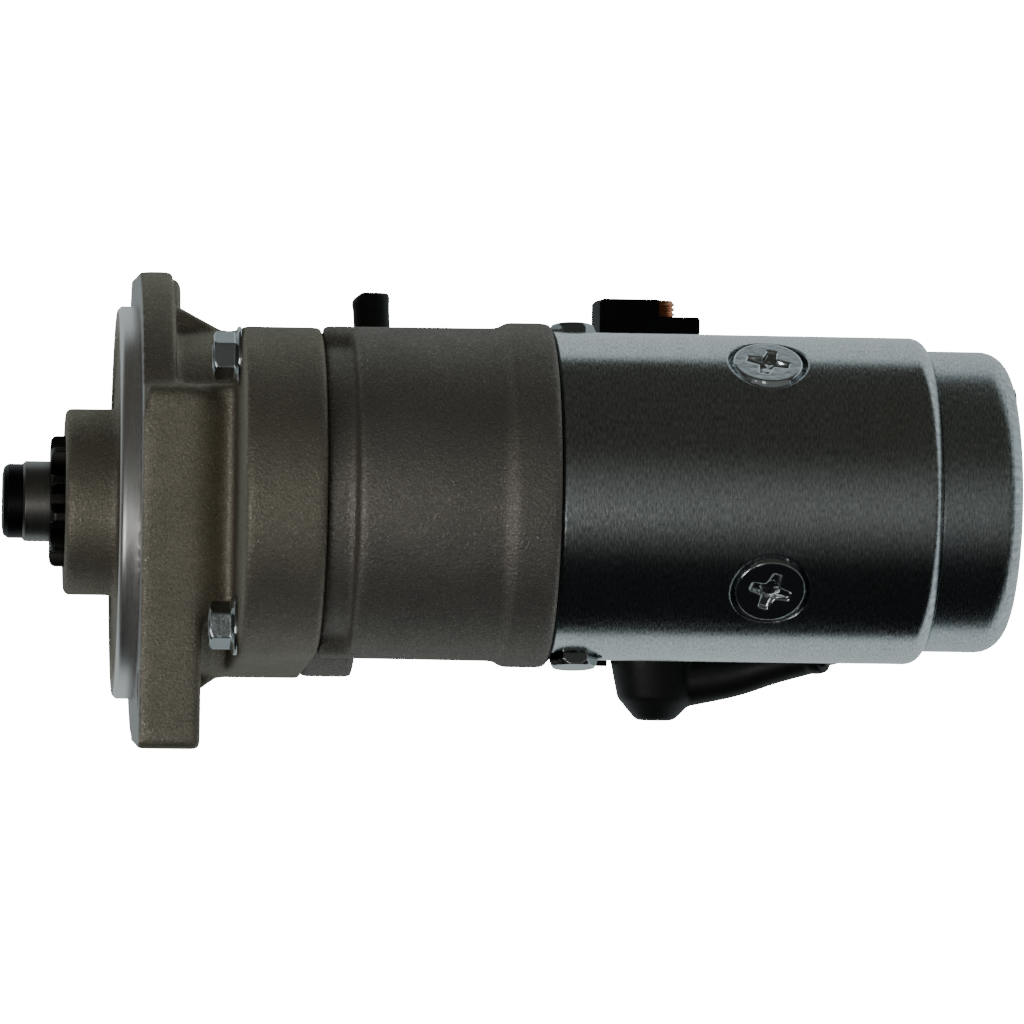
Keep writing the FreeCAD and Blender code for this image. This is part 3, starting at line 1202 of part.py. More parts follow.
def switch_bobbin():
    """Bobbin with two flanges."""
    outer = BOBBIN_R + BOBBIN_WALL
    points = [(CORE_PLATE_X1, BOBBIN_R), (CORE_PLATE_X1, BOBBIN_FLANGE_R),
              (CORE_PLATE_X1 + BOBBIN_FLANGE, BOBBIN_FLANGE_R), (CORE_PLATE_X1 + BOBBIN_FLANGE, outer),
              (BOBBIN_X1 - BOBBIN_FLANGE, outer), (BOBBIN_X1 - BOBBIN_FLANGE, BOBBIN_FLANGE_R),
              (BOBBIN_X1, BOBBIN_FLANGE_R), (BOBBIN_X1, BOBBIN_R)]
    return turned(points, PINION_AXIS)


def switch_coil():
    """Copper winding on the bobbin."""
    return ring(CORE_PLATE_X1 + BOBBIN_FLANGE, BOBBIN_X1 - BOBBIN_FLANGE, COIL_R,
                BOBBIN_R + BOBBIN_WALL, PINION_AXIS)


def plunger():
    """Plunger with a push rod ahead and a contact stem behind."""
    rod_x0 = SHAFT_X1 + BALL_GAP + 2 * BALL_R + BALL_GAP
    return turned([(rod_x0, 0), (rod_x0, ROD_R), (PLUNGER_X0, ROD_R), (PLUNGER_X0, PLUNGER_R),
                   (PLUNGER_X1, PLUNGER_R), (PLUNGER_X1, PLUNGER_STEM_R), (STEM_X1, PLUNGER_STEM_R),
                   (STEM_X1, 0)], PINION_AXIS)


def push_ball():
    """Steel ball between the push rod and the pinion shaft."""
    return Part.makeSphere(BALL_R, place(SHAFT_X1 + BALL_GAP + BALL_R, PINION_AXIS))


def contact_disc():
    """Copper washer that bridges the two contacts."""
    return ring(CONTACT_DISC[0], CONTACT_DISC[0] + CONTACT_DISC[1], CONTACT_DISC[2], PLUNGER_STEM_R,
                PINION_AXIS)


def stud_hole(direction):
    """Hole for a terminal stud in the cap wall."""
    radius = STUD_SHANK_R + TINY if direction > 0 else STUD_R
    return rod(Vector(STUD_X, 0, direction * STUD_IN), Vector(0, 0, direction), radius, LONG)


def switch_cap():
    """Black moulded cap with the shroud of the battery terminal."""
    body = turned([(BARREL_X1, 0), (BARREL_X1, CAP_OUT_R), (CAP_X1 - CAP_CORNER, CAP_OUT_R),
                   (CAP_X1, CAP_OUT_R - CAP_CORNER), (CAP_X1, 0)], PINION_AXIS)
    tall = box(SHROUD_X, SHROUD_Y, (SHROUD_ROOT, SHROUD_TOP))
    left = [edge for edge in tall.Edges if abs(edge.BoundBox.XMax - SHROUD_X[0]) < TINY]
    tall = tall.makeChamfer(SHROUD_BEVEL / 2, left)
    low = box((SHROUD_X[0] + 1, SHROUD_STEP_X1), SHROUD_Y, (SHROUD_ROOT, SHROUD_STEP_TOP))
    ends = [edge for edge in low.Edges if abs(edge.BoundBox.XMin - SHROUD_STEP_X1) < TINY]
    low = low.makeFillet(SHROUD_ROUND, ends)
    body = body.fuse([tall, low])
    recess = rod(Vector(STUD_X, 0, SHROUD_FLOOR), Vector(0, 0, 1), SHROUD_RECESS_R, LONG)
    mouth = box((STUD_X, LONG), (-SHROUD_RECESS_R, SHROUD_RECESS_R), (SHROUD_FLOOR, LONG))
    boss = rod(Vector(STUD_X, 0, -CAP_OUT_R - CAP_BOSS[1]), Vector(0, 0, 1), CAP_BOSS[0], CAP_BOSS[2])
    tab = box((SIGNAL_X[0] - SIGNAL_WALL, SIGNAL_X[1] + SIGNAL_WALL),
              (-SIGNAL_WIDTH / 2 - SIGNAL_WALL, SIGNAL_WIDTH / 2 + SIGNAL_WALL), (-CAP_OUT_R - 2, -CAP_IN_R))
    body = body.fuse([boss, tab]).cut([recess, mouth])
    hollow = disc(BARREL_X1 - 1, CAP_X1 - CAP_FLOOR, CAP_IN_R, PINION_AXIS)
    cuts = [hollow, stud_hole(1), stud_hole(-1),
            box(SIGNAL_X, (-SIGNAL_WIDTH / 2, SIGNAL_WIDTH / 2), (SIGNAL_BOTTOM, -10))]
    for angle in CAP_SCREW_ANGLES:
        start = place(BARREL_X1 - 1, PINION_AXIS, CAP_SCREW_PITCH_R, angle)
        cuts.append(rod(start, Vector(1, 0, 0), CAP_SCREW_R, LONG))
    return body.cut(cuts).removeSplitter()


def cap_screws():
    """Three small screws that hold the cap."""
    screws = []
    for angle in CAP_SCREW_ANGLES:
        start = place(BARREL_X1 - CAP_SCREW_IN, PINION_AXIS, CAP_SCREW_PITCH_R, angle)
        shank = rod(start, Vector(1, 0, 0), CAP_SCREW_R - TINY, CAP_X1 - BARREL_X1 + CAP_SCREW_IN + TINY)
        head = rod(place(CAP_X1, PINION_AXIS, CAP_SCREW_PITCH_R, angle), Vector(1, 0, 0),
                   CAP_SCREW_HEAD_R, CAP_SCREW_HEAD)
        screws.append(shank.fuse(head).removeSplitter())
    return screws


def terminal_pad(direction):
    """Contact block at the inner end of a stud."""
    half = PAD_SIZE[1] / 2
    x = (CONTACT_FACE_X - PAD_SIZE[0], CONTACT_FACE_X)
    heights = sorted((direction * PAD_Z0, direction * (PAD_Z0 + PAD_SIZE[2])))
    return box(x, (-half, half), heights)


def battery_stud():
    """Copper stud that carries the supply cable."""
    up = Vector(0, 0, 1)
    shoulder = STUD_TOP - STUD_CHAMFER
    shank = rod(Vector(STUD_X, 0, STUD_IN - 1), up, STUD_SHANK_R, SHROUD_FLOOR - STUD_IN + 1)
    thread = rod(Vector(STUD_X, 0, SHROUD_FLOOR), up, STUD_R - TINY, shoulder - SHROUD_FLOOR)
    tip = Part.makeCone(STUD_R - TINY, STUD_R - STUD_CHAMFER, STUD_CHAMFER, Vector(STUD_X, 0, shoulder), up)
    return shank.fuse([thread, tip, terminal_pad(1)]).removeSplitter()


def motor_stud():
    """Copper stud that feeds the motor lead."""
    stud = rod(Vector(STUD_X, 0, -STUD_IN + 1), Vector(0, 0, -1), STUD_R - TINY,
               -MOTOR_STUD_BOTTOM - STUD_IN + 1)
    return stud.fuse(terminal_pad(-1)).removeSplitter()


def motor_nut():
    """Nut that clamps the lead's lug on the motor stud."""
    start = Vector(STUD_X, 0, MOTOR_NUT_TOP - LUG_THICK)
    nut = hexagon(start, Vector(0, 0, -1), Vector(0, 1, 0), NUT_ACROSS, NUT_THICK)
    return nut.cut(rod(Vector(STUD_X, 0, 0), Vector(0, 0, -1), STUD_R, LONG))


def signal_terminal():
    """Blade of the switch's control wire."""
    return box((SIGNAL_X[0] + TINY, SIGNAL_X[1] - TINY), (-SIGNAL_WIDTH / 2 + TINY, SIGNAL_WIDTH / 2 - TINY),
               (SIGNAL_BOTTOM, -CAP_IN_R + 1))


# ======================================================================================================
# lead, boot, hose
# ======================================================================================================
def tube_along(points, radius):
    """Round bar through a smooth line of points."""
    curve = Part.BSplineCurve()
    curve.interpolate(points)
    edge = curve.toShape()
    start = edge.tangentAt(edge.FirstParameter)
    profile = Part.Wire(Part.makeCircle(radius, points[0], start))
    return Part.Wire(edge).makePipeShell([profile], True, True)


def lead_path():
    """Centre line of the motor lead, from the lug to the yoke."""
    entry = place(LEAD_ENTRY_X, MOTOR_AXIS, YOKE_BORE_R + 1.2, LEAD_ENTRY_ANGLE)
    out = outward(LEAD_ENTRY_ANGLE)
    return [Vector(x, y, z) for x, y, z in LEAD_POINTS] + [entry + out * LEAD_ENTRY_RUN, entry]


def motor_lead():
    """Insulated lead from the lug to the yoke."""
    return tube_along(lead_path(), LEAD_R)


def lead_lug():
    """Copper lug clamped under the nut."""
    bottom = MOTOR_NUT_TOP - LUG_THICK
    tongue = rod(Vector(STUD_X, 0, bottom), Vector(0, 0, 1), LUG_TONGUE_R, LUG_THICK)
    turn_x = STUD_X + NUT_ACROSS / 2 + 0.4
    width = (-LUG_HALF_WIDTH, LUG_HALF_WIDTH)
    strap = box((STUD_X, turn_x + LUG_STRAP), width, (bottom, MOTOR_NUT_TOP))
    drop = box((turn_x, turn_x + LUG_STRAP), width, (LEAD_START_Z, MOTOR_NUT_TOP))
    hole = rod(Vector(STUD_X, 0, 0), Vector(0, 0, -1), STUD_R, LONG)
    lug = tongue.fuse([strap, drop]).cut(hole)
    return lug.cut(tube_along(lead_path(), LEAD_R)).removeSplitter()


def boot_shape(grow):
    """Outline of the rubber boot, offset by grow."""
    radius = BOOT_R + grow
    rim = Vector(STUD_X - BOOT_SHIFT, 0, BOOT_TOP)
    height = BOOT_TOP - BOOT_BOTTOM + grow
    return Part.makeCone(radius + BOOT_FLARE, radius, height, rim, Vector(BOOT_LEAN, 0, -1))


def lead_boot():
    """Rubber boot over the motor terminal with a sleeve along the lead."""
    cup = boot_shape(0.0)
    path = lead_path()
    sleeve_points = path[:4]
    sleeve = tube_along(sleeve_points, LEAD_R + BOOT_WALL)
    hollow = boot_shape(-BOOT_WALL)
    shell = cup.cut(hollow)
    shell = shell.fuse(sleeve.cut(hollow)).cut(tube_along(path, LEAD_R + TINY))
    return shell.removeSplitter()


def lead_grommet():
    """Rubber grommet where the lead enters the yoke."""
    out = outward(LEAD_ENTRY_ANGLE)
    seat = place(LEAD_ENTRY_X, MOTOR_AXIS, YOKE_R + GROMMET_STAND_OFF, LEAD_ENTRY_ANGLE)
    head = rod(seat, out, GROMMET_R, GROMMET_THICK - GROMMET_STAND_OFF)
    neck = rod(place(LEAD_ENTRY_X, MOTOR_AXIS, YOKE_BORE_R + 0.4, LEAD_ENTRY_ANGLE), out,
               GROMMET_R - GROMMET_NECK - 0.1, YOKE_R - YOKE_BORE_R + 1)
    return head.fuse(neck).cut(tube_along(lead_path(), LEAD_R + TINY)).removeSplitter()


def vent_hose():
    """Rubber hose on the nipple, cut on a slant at the top."""
    direction = hose_direction()
    start = hose_foot() + direction * HOSE_START
    outer = rod(start, direction, HOSE_R, HOSE_LENGTH)
    bore = rod(start - direction, direction, HOSE_BORE_R, HOSE_LENGTH + 2)
    slant = box((-LONG, LONG), (-LONG, LONG), (0, LONG))
    slant.rotate(Vector(0, 0, 0), Vector(0, 1, 0), HOSE_SLANT)
    slant.translate(Vector(NIPPLE_X, NIPPLE_Y, HOSE_TOP))
    return outer.cut([bore, slant])


# ======================================================================================================
# write every node
# ======================================================================================================
def main():
    save("drive_housing", drive_housing())
    save("centre_housing", centre_housing())
    save("flange_bolts", flange_bolts())
    save("yoke_seal", ring(RIM_X1, YOKE_X0, RIM_R - 1.6, SPIGOT_R + TINY, MOTOR_AXIS))
    save("yoke", yoke())
    save("yoke_bolts", yoke_bolts())
    save("pole_screws", pole_screws())
    save("pole_shoes", pole_shoes())
    save("field_coils", field_coils())
    save("rear_cover", rear_cover())
    save("cover_screws", cover_screws())
    save("brush_plate", brush_plate())
    save("brush_holders", brush_holders())
    save("brushes", brushes())
    save("brush_springs", brush_springs())
    save("bearing_outer_races", [outer_race(CLUTCH_FRONT_BEARING, PINION_AXIS),
                                 outer_race(CLUTCH_REAR_BEARING, PINION_AXIS),
                                 outer_race(ARMATURE_FRONT_BEARING, MOTOR_AXIS),
                                 outer_race(ARMATURE_REAR_BEARING, MOTOR_AXIS)])
    save("armature_inner_races", [inner_race(ARMATURE_FRONT_BEARING, MOTOR_AXIS),
                                  inner_race(ARMATURE_REAR_BEARING, MOTOR_AXIS)])
    save("armature_balls", bearing_balls(ARMATURE_FRONT_BEARING, MOTOR_AXIS)
         + bearing_balls(ARMATURE_REAR_BEARING, MOTOR_AXIS))
    save("clutch_gear_race", inner_race(CLUTCH_REAR_BEARING, PINION_AXIS))
    save("clutch_gear_balls", bearing_balls(CLUTCH_REAR_BEARING, PINION_AXIS))
    save("clutch_inner_race", inner_race(CLUTCH_FRONT_BEARING, PINION_AXIS))
    save("clutch_inner_balls", bearing_balls(CLUTCH_FRONT_BEARING, PINION_AXIS))
    save("armature_shaft", armature_shaft())
    save("armature_core", armature_core())
    save("armature_windings", armature_windings())
    save("commutator", commutator())
    save("idler_pin", disc(IDLER_PIN_X0, IDLER_PIN_X1, IDLER_PIN_R - TINY, IDLER_AXIS))
    save("idler_gear", idler_gear())
    save("clutch_gear", clutch_gear())
    save("clutch_cover", ring(CLUTCH_COVER[0], CLUTCH_COVER[1], CLUTCH_COVER[2], CLUTCH_LAND_R, PINION_AXIS))
    save("clutch_rollers", clutch_rollers())
    save("roller_springs", roller_springs())
    save("clutch_inner", clutch_inner())
    save("pinion_shaft", pinion_shaft())
    save("pinion_gear", pinion_gear())
    save("stop_collar", stop_collar())
    save("snap_ring", snap_ring())
    save("shaft_cap", shaft_cap())
    save("pinion_spring", spring(PINION_X1, SHAFT_SHOULDER[0], PINION_SPRING_R, PINION_SPRING_WIRE,
                                 PINION_SPRING_TURNS, PINION_AXIS))
    save("return_spring", spring(RETURN_SPRING[0], RETURN_SPRING[1], RETURN_SPRING_R, RETURN_SPRING_WIRE,
                                 RETURN_SPRING_TURNS, PINION_AXIS))
    save("return_spring_seat", ring(SPRING_SEAT[0], SPRING_SEAT[1], SPRING_SEAT_R, SHAFT_R, PINION_AXIS))
    save("switch_core", switch_core())
    save("switch_bobbin", switch_bobbin())
    save("switch_coil", switch_coil())
    save("coil_end_plate", ring(BOBBIN_X1, END_PLATE_X1, BARREL_BORE_R - TINY, END_PLATE_BORE, PINION_AXIS))
    save("plunger", plunger())
    save("push_ball", push_ball())
    save("contact_disc", contact_disc())
    save("contact_spring", spring(SWITCH_SPRING[0], SWITCH_SPRING[1], SWITCH_SPRING_R, SWITCH_SPRING_WIRE,
                                  SWITCH_SPRING_TURNS, PINION_AXIS))
    save("switch_cap", switch_cap())
    save("cap_screws", cap_screws())
    save("battery_stud", battery_stud())
    save("motor_stud", motor_stud())
    save("motor_nut", motor_nut())
    save("signal_terminal", signal_terminal())
    save("motor_lead", motor_lead())
    save("lead_lug", lead_lug())
    save("lead_boot", lead_boot())
    save("lead_grommet", lead_grommet())
    save("vent_hose", vent_hose())


main()
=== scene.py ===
import bpy
import bmesh
import math
import json
from mathutils import Matrix, Vector, noise


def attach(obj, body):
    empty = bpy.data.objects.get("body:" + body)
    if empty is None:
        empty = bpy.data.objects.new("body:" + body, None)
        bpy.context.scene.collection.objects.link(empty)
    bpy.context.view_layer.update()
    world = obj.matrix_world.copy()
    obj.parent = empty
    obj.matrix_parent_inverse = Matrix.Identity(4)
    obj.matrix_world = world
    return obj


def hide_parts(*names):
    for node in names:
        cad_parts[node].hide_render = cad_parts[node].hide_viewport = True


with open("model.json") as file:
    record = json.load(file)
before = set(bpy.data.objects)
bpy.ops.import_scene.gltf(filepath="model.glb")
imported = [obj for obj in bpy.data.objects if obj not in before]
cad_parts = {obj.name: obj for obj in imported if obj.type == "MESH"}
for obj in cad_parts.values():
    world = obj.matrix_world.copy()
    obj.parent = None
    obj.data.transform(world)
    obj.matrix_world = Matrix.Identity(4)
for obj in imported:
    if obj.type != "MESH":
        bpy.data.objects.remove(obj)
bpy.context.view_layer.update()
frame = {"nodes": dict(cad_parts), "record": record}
NODES = frame["nodes"]

MM = 0.001

# the two X-parallel axes as (y, z), in mm
CENTRE_DISTANCE = 66.0
CLOCK = math.radians(2.8)
MOTOR = (-CENTRE_DISTANCE * math.cos(CLOCK), CENTRE_DISTANCE * math.sin(CLOCK))
PINION = (0.0, 0.0)

# castings: voxel in mm, and smoothing passes
CAST_VOXEL = 0.8
FRONT_PASSES = 14
CENTRE_PASSES = 8
MACHINED_HOLD = 0.12
FLANGE_FACE_HALF = 0.8

# machined pilot ring and rubber seal as (x, radius) outlines, in mm
PILOT_OUTLINE = ((0.15, 43.0), (-4.2, 43.0), (-4.2, 44.0), (-4.9, 44.1), (-5.0, 44.2), (-5.0, 47.9),
                 (-4.85, 48.2), (-4.1, 48.95), (-4.0, 49.0), (-2.0, 49.0), (-0.05, 49.0), (0.15, 48.9))
PILOT_AROUND = 240
PILOT_INNER_R = 43.5
PILOT_FRONT = -0.3
PILOT_SINK = 0.6
SEAL_OUTLINE = ((97.02, 35.2), (97.02, 39.9), (97.1, 40.15), (97.2, 40.2), (97.3, 40.15), (97.38, 39.9),
                (97.38, 35.2))

# battery stud, in mm
STUD_X = 131.0
STUD_R = 3.96
STUD_SHANK_R = 3.55
STUD_FOOT = 12.6
STUD_TOP = 52.85
STUD_PITCH = 1.25
STUD_THREAD = 0.62
STUD_CREST = 0.12
STUD_FLANK = 0.76
STUD_LEAD_IN = 0.9
STUD_AROUND = 40
STUD_STEPS = 10
SHROUD_FLOOR = 44.0

# motor lead, boot and grommet, in mm
LEAD_POINTS = ((138.0, -1.0, -42.6), (150.0, -5.5, -41.0), (162.0, -12.5, -37.8), (173.0, -21.5, -34.6))
LEAD_X = 179.5
LEAD_ANGLE = -128.0
LEAD_DEPTH = 36.2
LEAD_RUN = 8.0
LEAD_R = 3.05
YOKE_WALL_R = 38.9
BOOT_X = 130.6
BOOT_VOXEL = 0.45
BOOT_PASSES = 8
BOOT_OUTLINE = ((-26.6, 11.0, 0.0), (-37.0, 10.9, 0.2), (-43.5, 10.3, 0.9), (-46.8, 9.9, 1.2),
                (-47.5, 9.5, 1.2), (-52.2, 5.2, 0.9), (-52.7, 4.0, 0.8))
SLEEVE_POINTS = ((132.0, 0.0, -43.4), (138.0, -1.0, -42.8), (150.0, -5.5, -40.8), (160.0, -11.0, -38.0),
                 (171.0, -19.6, -35.3))
SLEEVE_R = 7.4
SLEEVE_TAPER = 3.3
SLEEVE_TAPER_RATE = 1.05
SLEEVE_BEAD = 0.4
SLEEVE_BEAD_FROM = 0.955
GROMMET_OUTLINE = ((0.0, 3.2), (0.0, 4.6), (0.9, 4.7), (0.9, 6.0), (1.6, 6.35), (2.4, 6.2), (3.0, 5.2),
                   (3.3, 4.2), (3.1, 3.2))

# vent hose, in mm
HOSE_X = 60.4
HOSE_Y = 4.0
HOSE_FOOT_Z = 21.1
HOSE_LEAN = -0.06
HOSE_R = 4.5
HOSE_BORE_R = 2.45
HOSE_START = 5.5
HOSE_STEP = 0.8
HOSE_RINGS = 30
HOSE_LENGTH = 30.8
HOSE_TOP = 53.6
HOSE_CUT = 3.9
HOSE_CUT_FALL = 0.7
HOSE_RIPPLE = 0.05
HOSE_RIPPLE_RATE = 0.6
HOSE_FLARE = 0.25
HOSE_FLARE_FROM = 24.0
HOSE_FLARE_RUN = 7.0
HOSE_LIP = ((HOSE_R + 0.28, 1.3), (HOSE_R + 0.15, 0.55), (HOSE_R - 0.25, 0.1), (HOSE_R - 0.8, 0.0),
            (HOSE_BORE_R + 0.3, 0.0))
HOSE_BORE_STATIONS = (25.0, 22.0, 15.0, HOSE_START)

# pole screws, in mm and degrees
SCREW_ANGLES = (56.0, -34.0, 146.0, -124.0)
SCREW_X = 147.4
SCREW_FACE = 39.3
SCREW_TURN = -17.0
SCREW_AROUND = 180
SCREW_RINGS = 84
SCREW_CENTRE_R = 0.06
SCREW_HEAD_R = 9.25
SCREW_FLAT_R = 8.2
SCREW_BEVEL_WIDTH = 1.05
SCREW_BEVEL_DEPTH = 1.75
SCREW_RAGGED = 0.45
SCREW_WAVE = 0.02
SCREW_SHANK = ((SCREW_HEAD_R, -2.1), (4.0, -2.15), (4.0, -9.2))
PUNCH_MARKS = 6
PUNCH_HALF = 0.5
PUNCH_RISE = 0.42
RECESS_HALF = 1.15
RECESS_FLARE = 1.7
RECESS_END = 5.15
RECESS_SIDE_WALL = 0.45
RECESS_END_WALL = 0.5
RECESS_FLOOR = 0.75
RECESS_DIP = 1.15
RECESS_DIP_REACH = 4.6

# stage and camera, in metres unless named in mm
FLOOR_Z = -0.25
FLOOR_HALF = 0.9
FLOOR_GLOW = 1.6
TENT_WHITE = (0.52, 0.58, 0.60)
TENT_EDGE = (0.31, 0.47)
ROOM_LOW = (0.0085, 0.0090, 0.0098)
ROOM_HIGH = (0.042, 0.042, 0.036)
ROOM_PATCH = (0.140, 0.143, 0.137)
BACKDROP = 20.0
LENS = 228.5
CAMERA_AT_MM = (-53.1, -1624.4, -0.85)
CAMERA_AHEAD = (0.0906, 0.9959, 0)
CAMERA_ROLL = 0.0155


# ------------------------------------------------------------------ materials
class Nodes:
    """Small helper that builds a node material."""

    def __init__(self, name):
        self.material = bpy.data.materials.new(name)
        self.material.use_nodes = True
        self.tree = self.material.node_tree
        self.shader = self.tree.nodes["Principled BSDF"]
        coords = self.add("ShaderNodeTexCoord")
        self.position = coords.outputs["Object"]
        self.normal = self.add("ShaderNodeNewGeometry").outputs["True Normal"]

    def add(self, kind, **values):
        node = self.tree.nodes.new(kind)
        for key, value in values.items():
            setattr(node, key, value)
        return node

    def link(self, a, b):
        self.tree.links.new(a, b)

    def put(self, socket, value):
        if hasattr(value, "is_output"):
            self.link(value, socket)
        else:
            socket.default_value = value

    def math(self, operation, a, b=0.0, clamp=False):
        node = self.add("ShaderNodeMath", operation=operation, use_clamp=clamp)
        self.put(node.inputs[0], a)
        self.put(node.inputs[1], b)
        return node.outputs[0]

    def split(self, vector):
        node = self.add("ShaderNodeSeparateXYZ")
        self.link(vector, node.inputs[0])
        return node.outputs

    def join(self, x, y, z):
        node = self.add("ShaderNodeCombineXYZ")
        for socket, value in zip(node.inputs, (x, y, z)):
            self.put(socket, value)
        return node.outputs[0]

    def scaled(self, vector, factors):
        node = self.add("ShaderNodeVectorMath", operation="MULTIPLY")
        self.link(vector, node.inputs[0])
        node.inputs[1].default_value = factors
        return node.outputs[0]

    def noise(self, vector, scale, detail=3.0, rough=0.5, distort=0.0):
        node = self.add("ShaderNodeTexNoise")
        self.link(vector, node.inputs["Vector"])
        node.inputs["Scale"].default_value = scale
        node.inputs["Detail"].default_value = detail
        node.inputs["Roughness"].default_value = rough
        node.inputs["Distortion"].default_value = distort
        return node.outputs["Fac"]

    def cells(self, vector, scale):
        node = self.add("ShaderNodeTexVoronoi", feature="F1")
        self.link(vector, node.inputs["Vector"])
        node.inputs["Scale"].default_value = scale
        return node.outputs["Distance"]

    def ramp(self, value, low, high, out_low=0.0, out_high=1.0):
        node = self.add("ShaderNodeMapRange")
        self.put(node.inputs["Value"], value)
        node.inputs["From Min"].default_value = low
        node.inputs["From Max"].default_value = high
        node.inputs["To Min"].default_value = out_low
        node.inputs["To Max"].default_value = out_high
        return node.outputs["Result"]

    def mix(self, factor, a, b):
        node = self.add("ShaderNodeMix", data_type="RGBA")
        self.put(node.inputs["Factor"], factor)
        for socket, value in ((node.inputs["A"], a), (node.inputs["B"], b)):
            if hasattr(value, "is_output"):
                self.link(value, socket)
            else:
                socket.default_value = (*value, 1.0)
        return node.outputs["Result"]

    def bump(self, height, distance, strength=1.0, normal=None):
        node = self.add("ShaderNodeBump")
        self.link(height, node.inputs["Height"])
        node.inputs["Distance"].default_value = distance
        node.inputs["Strength"].default_value = strength
        if normal is not None:
            self.link(normal, node.inputs["Normal"])
        return node.outputs["Normal"]

    def round_edges(self, radius):
        node = self.add("ShaderNodeBevel", samples=6)
        node.inputs["Radius"].default_value = radius
        return node.outputs["Normal"]

    def set(self, name, value):
        self.put(self.shader.inputs[name], value)

    def around(self, axis):
        """Radius and angle about an X-parallel axis, and the station along it."""
        x, y, z = self.split(self.position)
        dy = self.math("SUBTRACT", y, axis[0] * MM)
        dz = self.math("SUBTRACT", z, axis[1] * MM)
        radius = self.math("SQRT", self.math("ADD", self.math("MULTIPLY", dy, dy),
                                             self.math("MULTIPLY", dz, dz)))
        angle = self.math("ARCTAN2", dz, dy)
        return x, radius, angle


def cast_metal(name, tint, machined=False, grazing=0.30):
    """Sand-cast aluminium, with the drive housing's machined pilot and flange face left bright.

    grazing is the reflection kept at a grazing angle.
    """
    n = Nodes(name)
    grain = n.noise(n.position, 2300.0, 3.0, 0.6)
    pits = n.cells(n.position, 1500.0)
    blotch = n.noise(n.position, 60.0, 5.0, 0.65)
    spark = n.ramp(n.noise(n.position, 3000.0, 1.0, 0.5), 0.62, 0.72)
    tone = n.mix(n.ramp(blotch, 0.3, 0.7), tuple(0.80 * c for c in tint), tint)
    tone = n.mix(n.ramp(grain, 0.40, 0.68, 0.0, 0.5), tone, tuple(0.5 * c for c in tint))
    # painted glint: small flecks painted towards near-white in the colour, and made smoother in the
    # roughness below
    tone = n.mix(n.math("MULTIPLY", spark, 0.5), tone, (0.98, 0.95, 0.88))
    rough = n.math("SUBTRACT", n.ramp(grain, 0.3, 0.7, 0.46, 0.64), n.math("MULTIPLY", spark, 0.2))
    edge = n.round_edges(1.0 * MM)
    height = n.math("ADD", n.math("MULTIPLY", grain, 0.6), n.math("MULTIPLY", pits, 0.4))
    cast_normal = n.bump(height, 0.00026, 0.9, edge)
    n.set("Metallic", 0.85)
    n.set("Specular Tint", (grazing, grazing, grazing, 1.0))
    if not machined:
        n.set("Base Color", tone)
        n.set("Roughness", rough)
        n.set("Normal", cast_normal)
        return n.material
    x, radius, angle = n.around(PINION)
    nx = n.split(n.normal)[0]
    faces_front = n.ramp(nx, -0.9, -0.97)
    on_flange = n.math("MULTIPLY", faces_front,
                       n.math("MULTIPLY", n.ramp(x, -0.0006, -0.0004), n.ramp(x, 0.0006, 0.0004)))
    on_pilot = n.math("MULTIPLY", n.ramp(radius, 0.0478, 0.0481), n.ramp(x, 0.0004, 0.0001))
    mask = n.math("MAXIMUM", on_flange, on_pilot, True)
    lines = n.noise(n.join(n.math("MULTIPLY", x, 9000.0), n.math("MULTIPLY", radius, 9000.0),
                           n.math("MULTIPLY", angle, 2.0)), 1.0, 3.0, 0.6)
    bright = n.mix(lines, (0.74, 0.73, 0.71), (0.93, 0.92, 0.90))
    n.set("Base Color", n.mix(mask, tone, bright))
    rough_cut = n.ramp(lines, 0.3, 0.7, 0.26, 0.42)
    blend = n.add("ShaderNodeMix", data_type="FLOAT")
    n.link(mask, blend.inputs[0])
    n.link(rough, blend.inputs[2])
    n.link(rough_cut, blend.inputs[3])
    n.set("Roughness", blend.outputs[0])
    cut_normal = n.bump(lines, 0.00003, 0.6, edge)
    both = n.add("ShaderNodeMix", data_type="VECTOR")
    n.link(mask, both.inputs["Factor"])
    n.link(cast_normal, both.inputs[4])
    n.link(cut_normal, both.inputs[5])
    n.set("Normal", both.outputs[1])
    return n.material


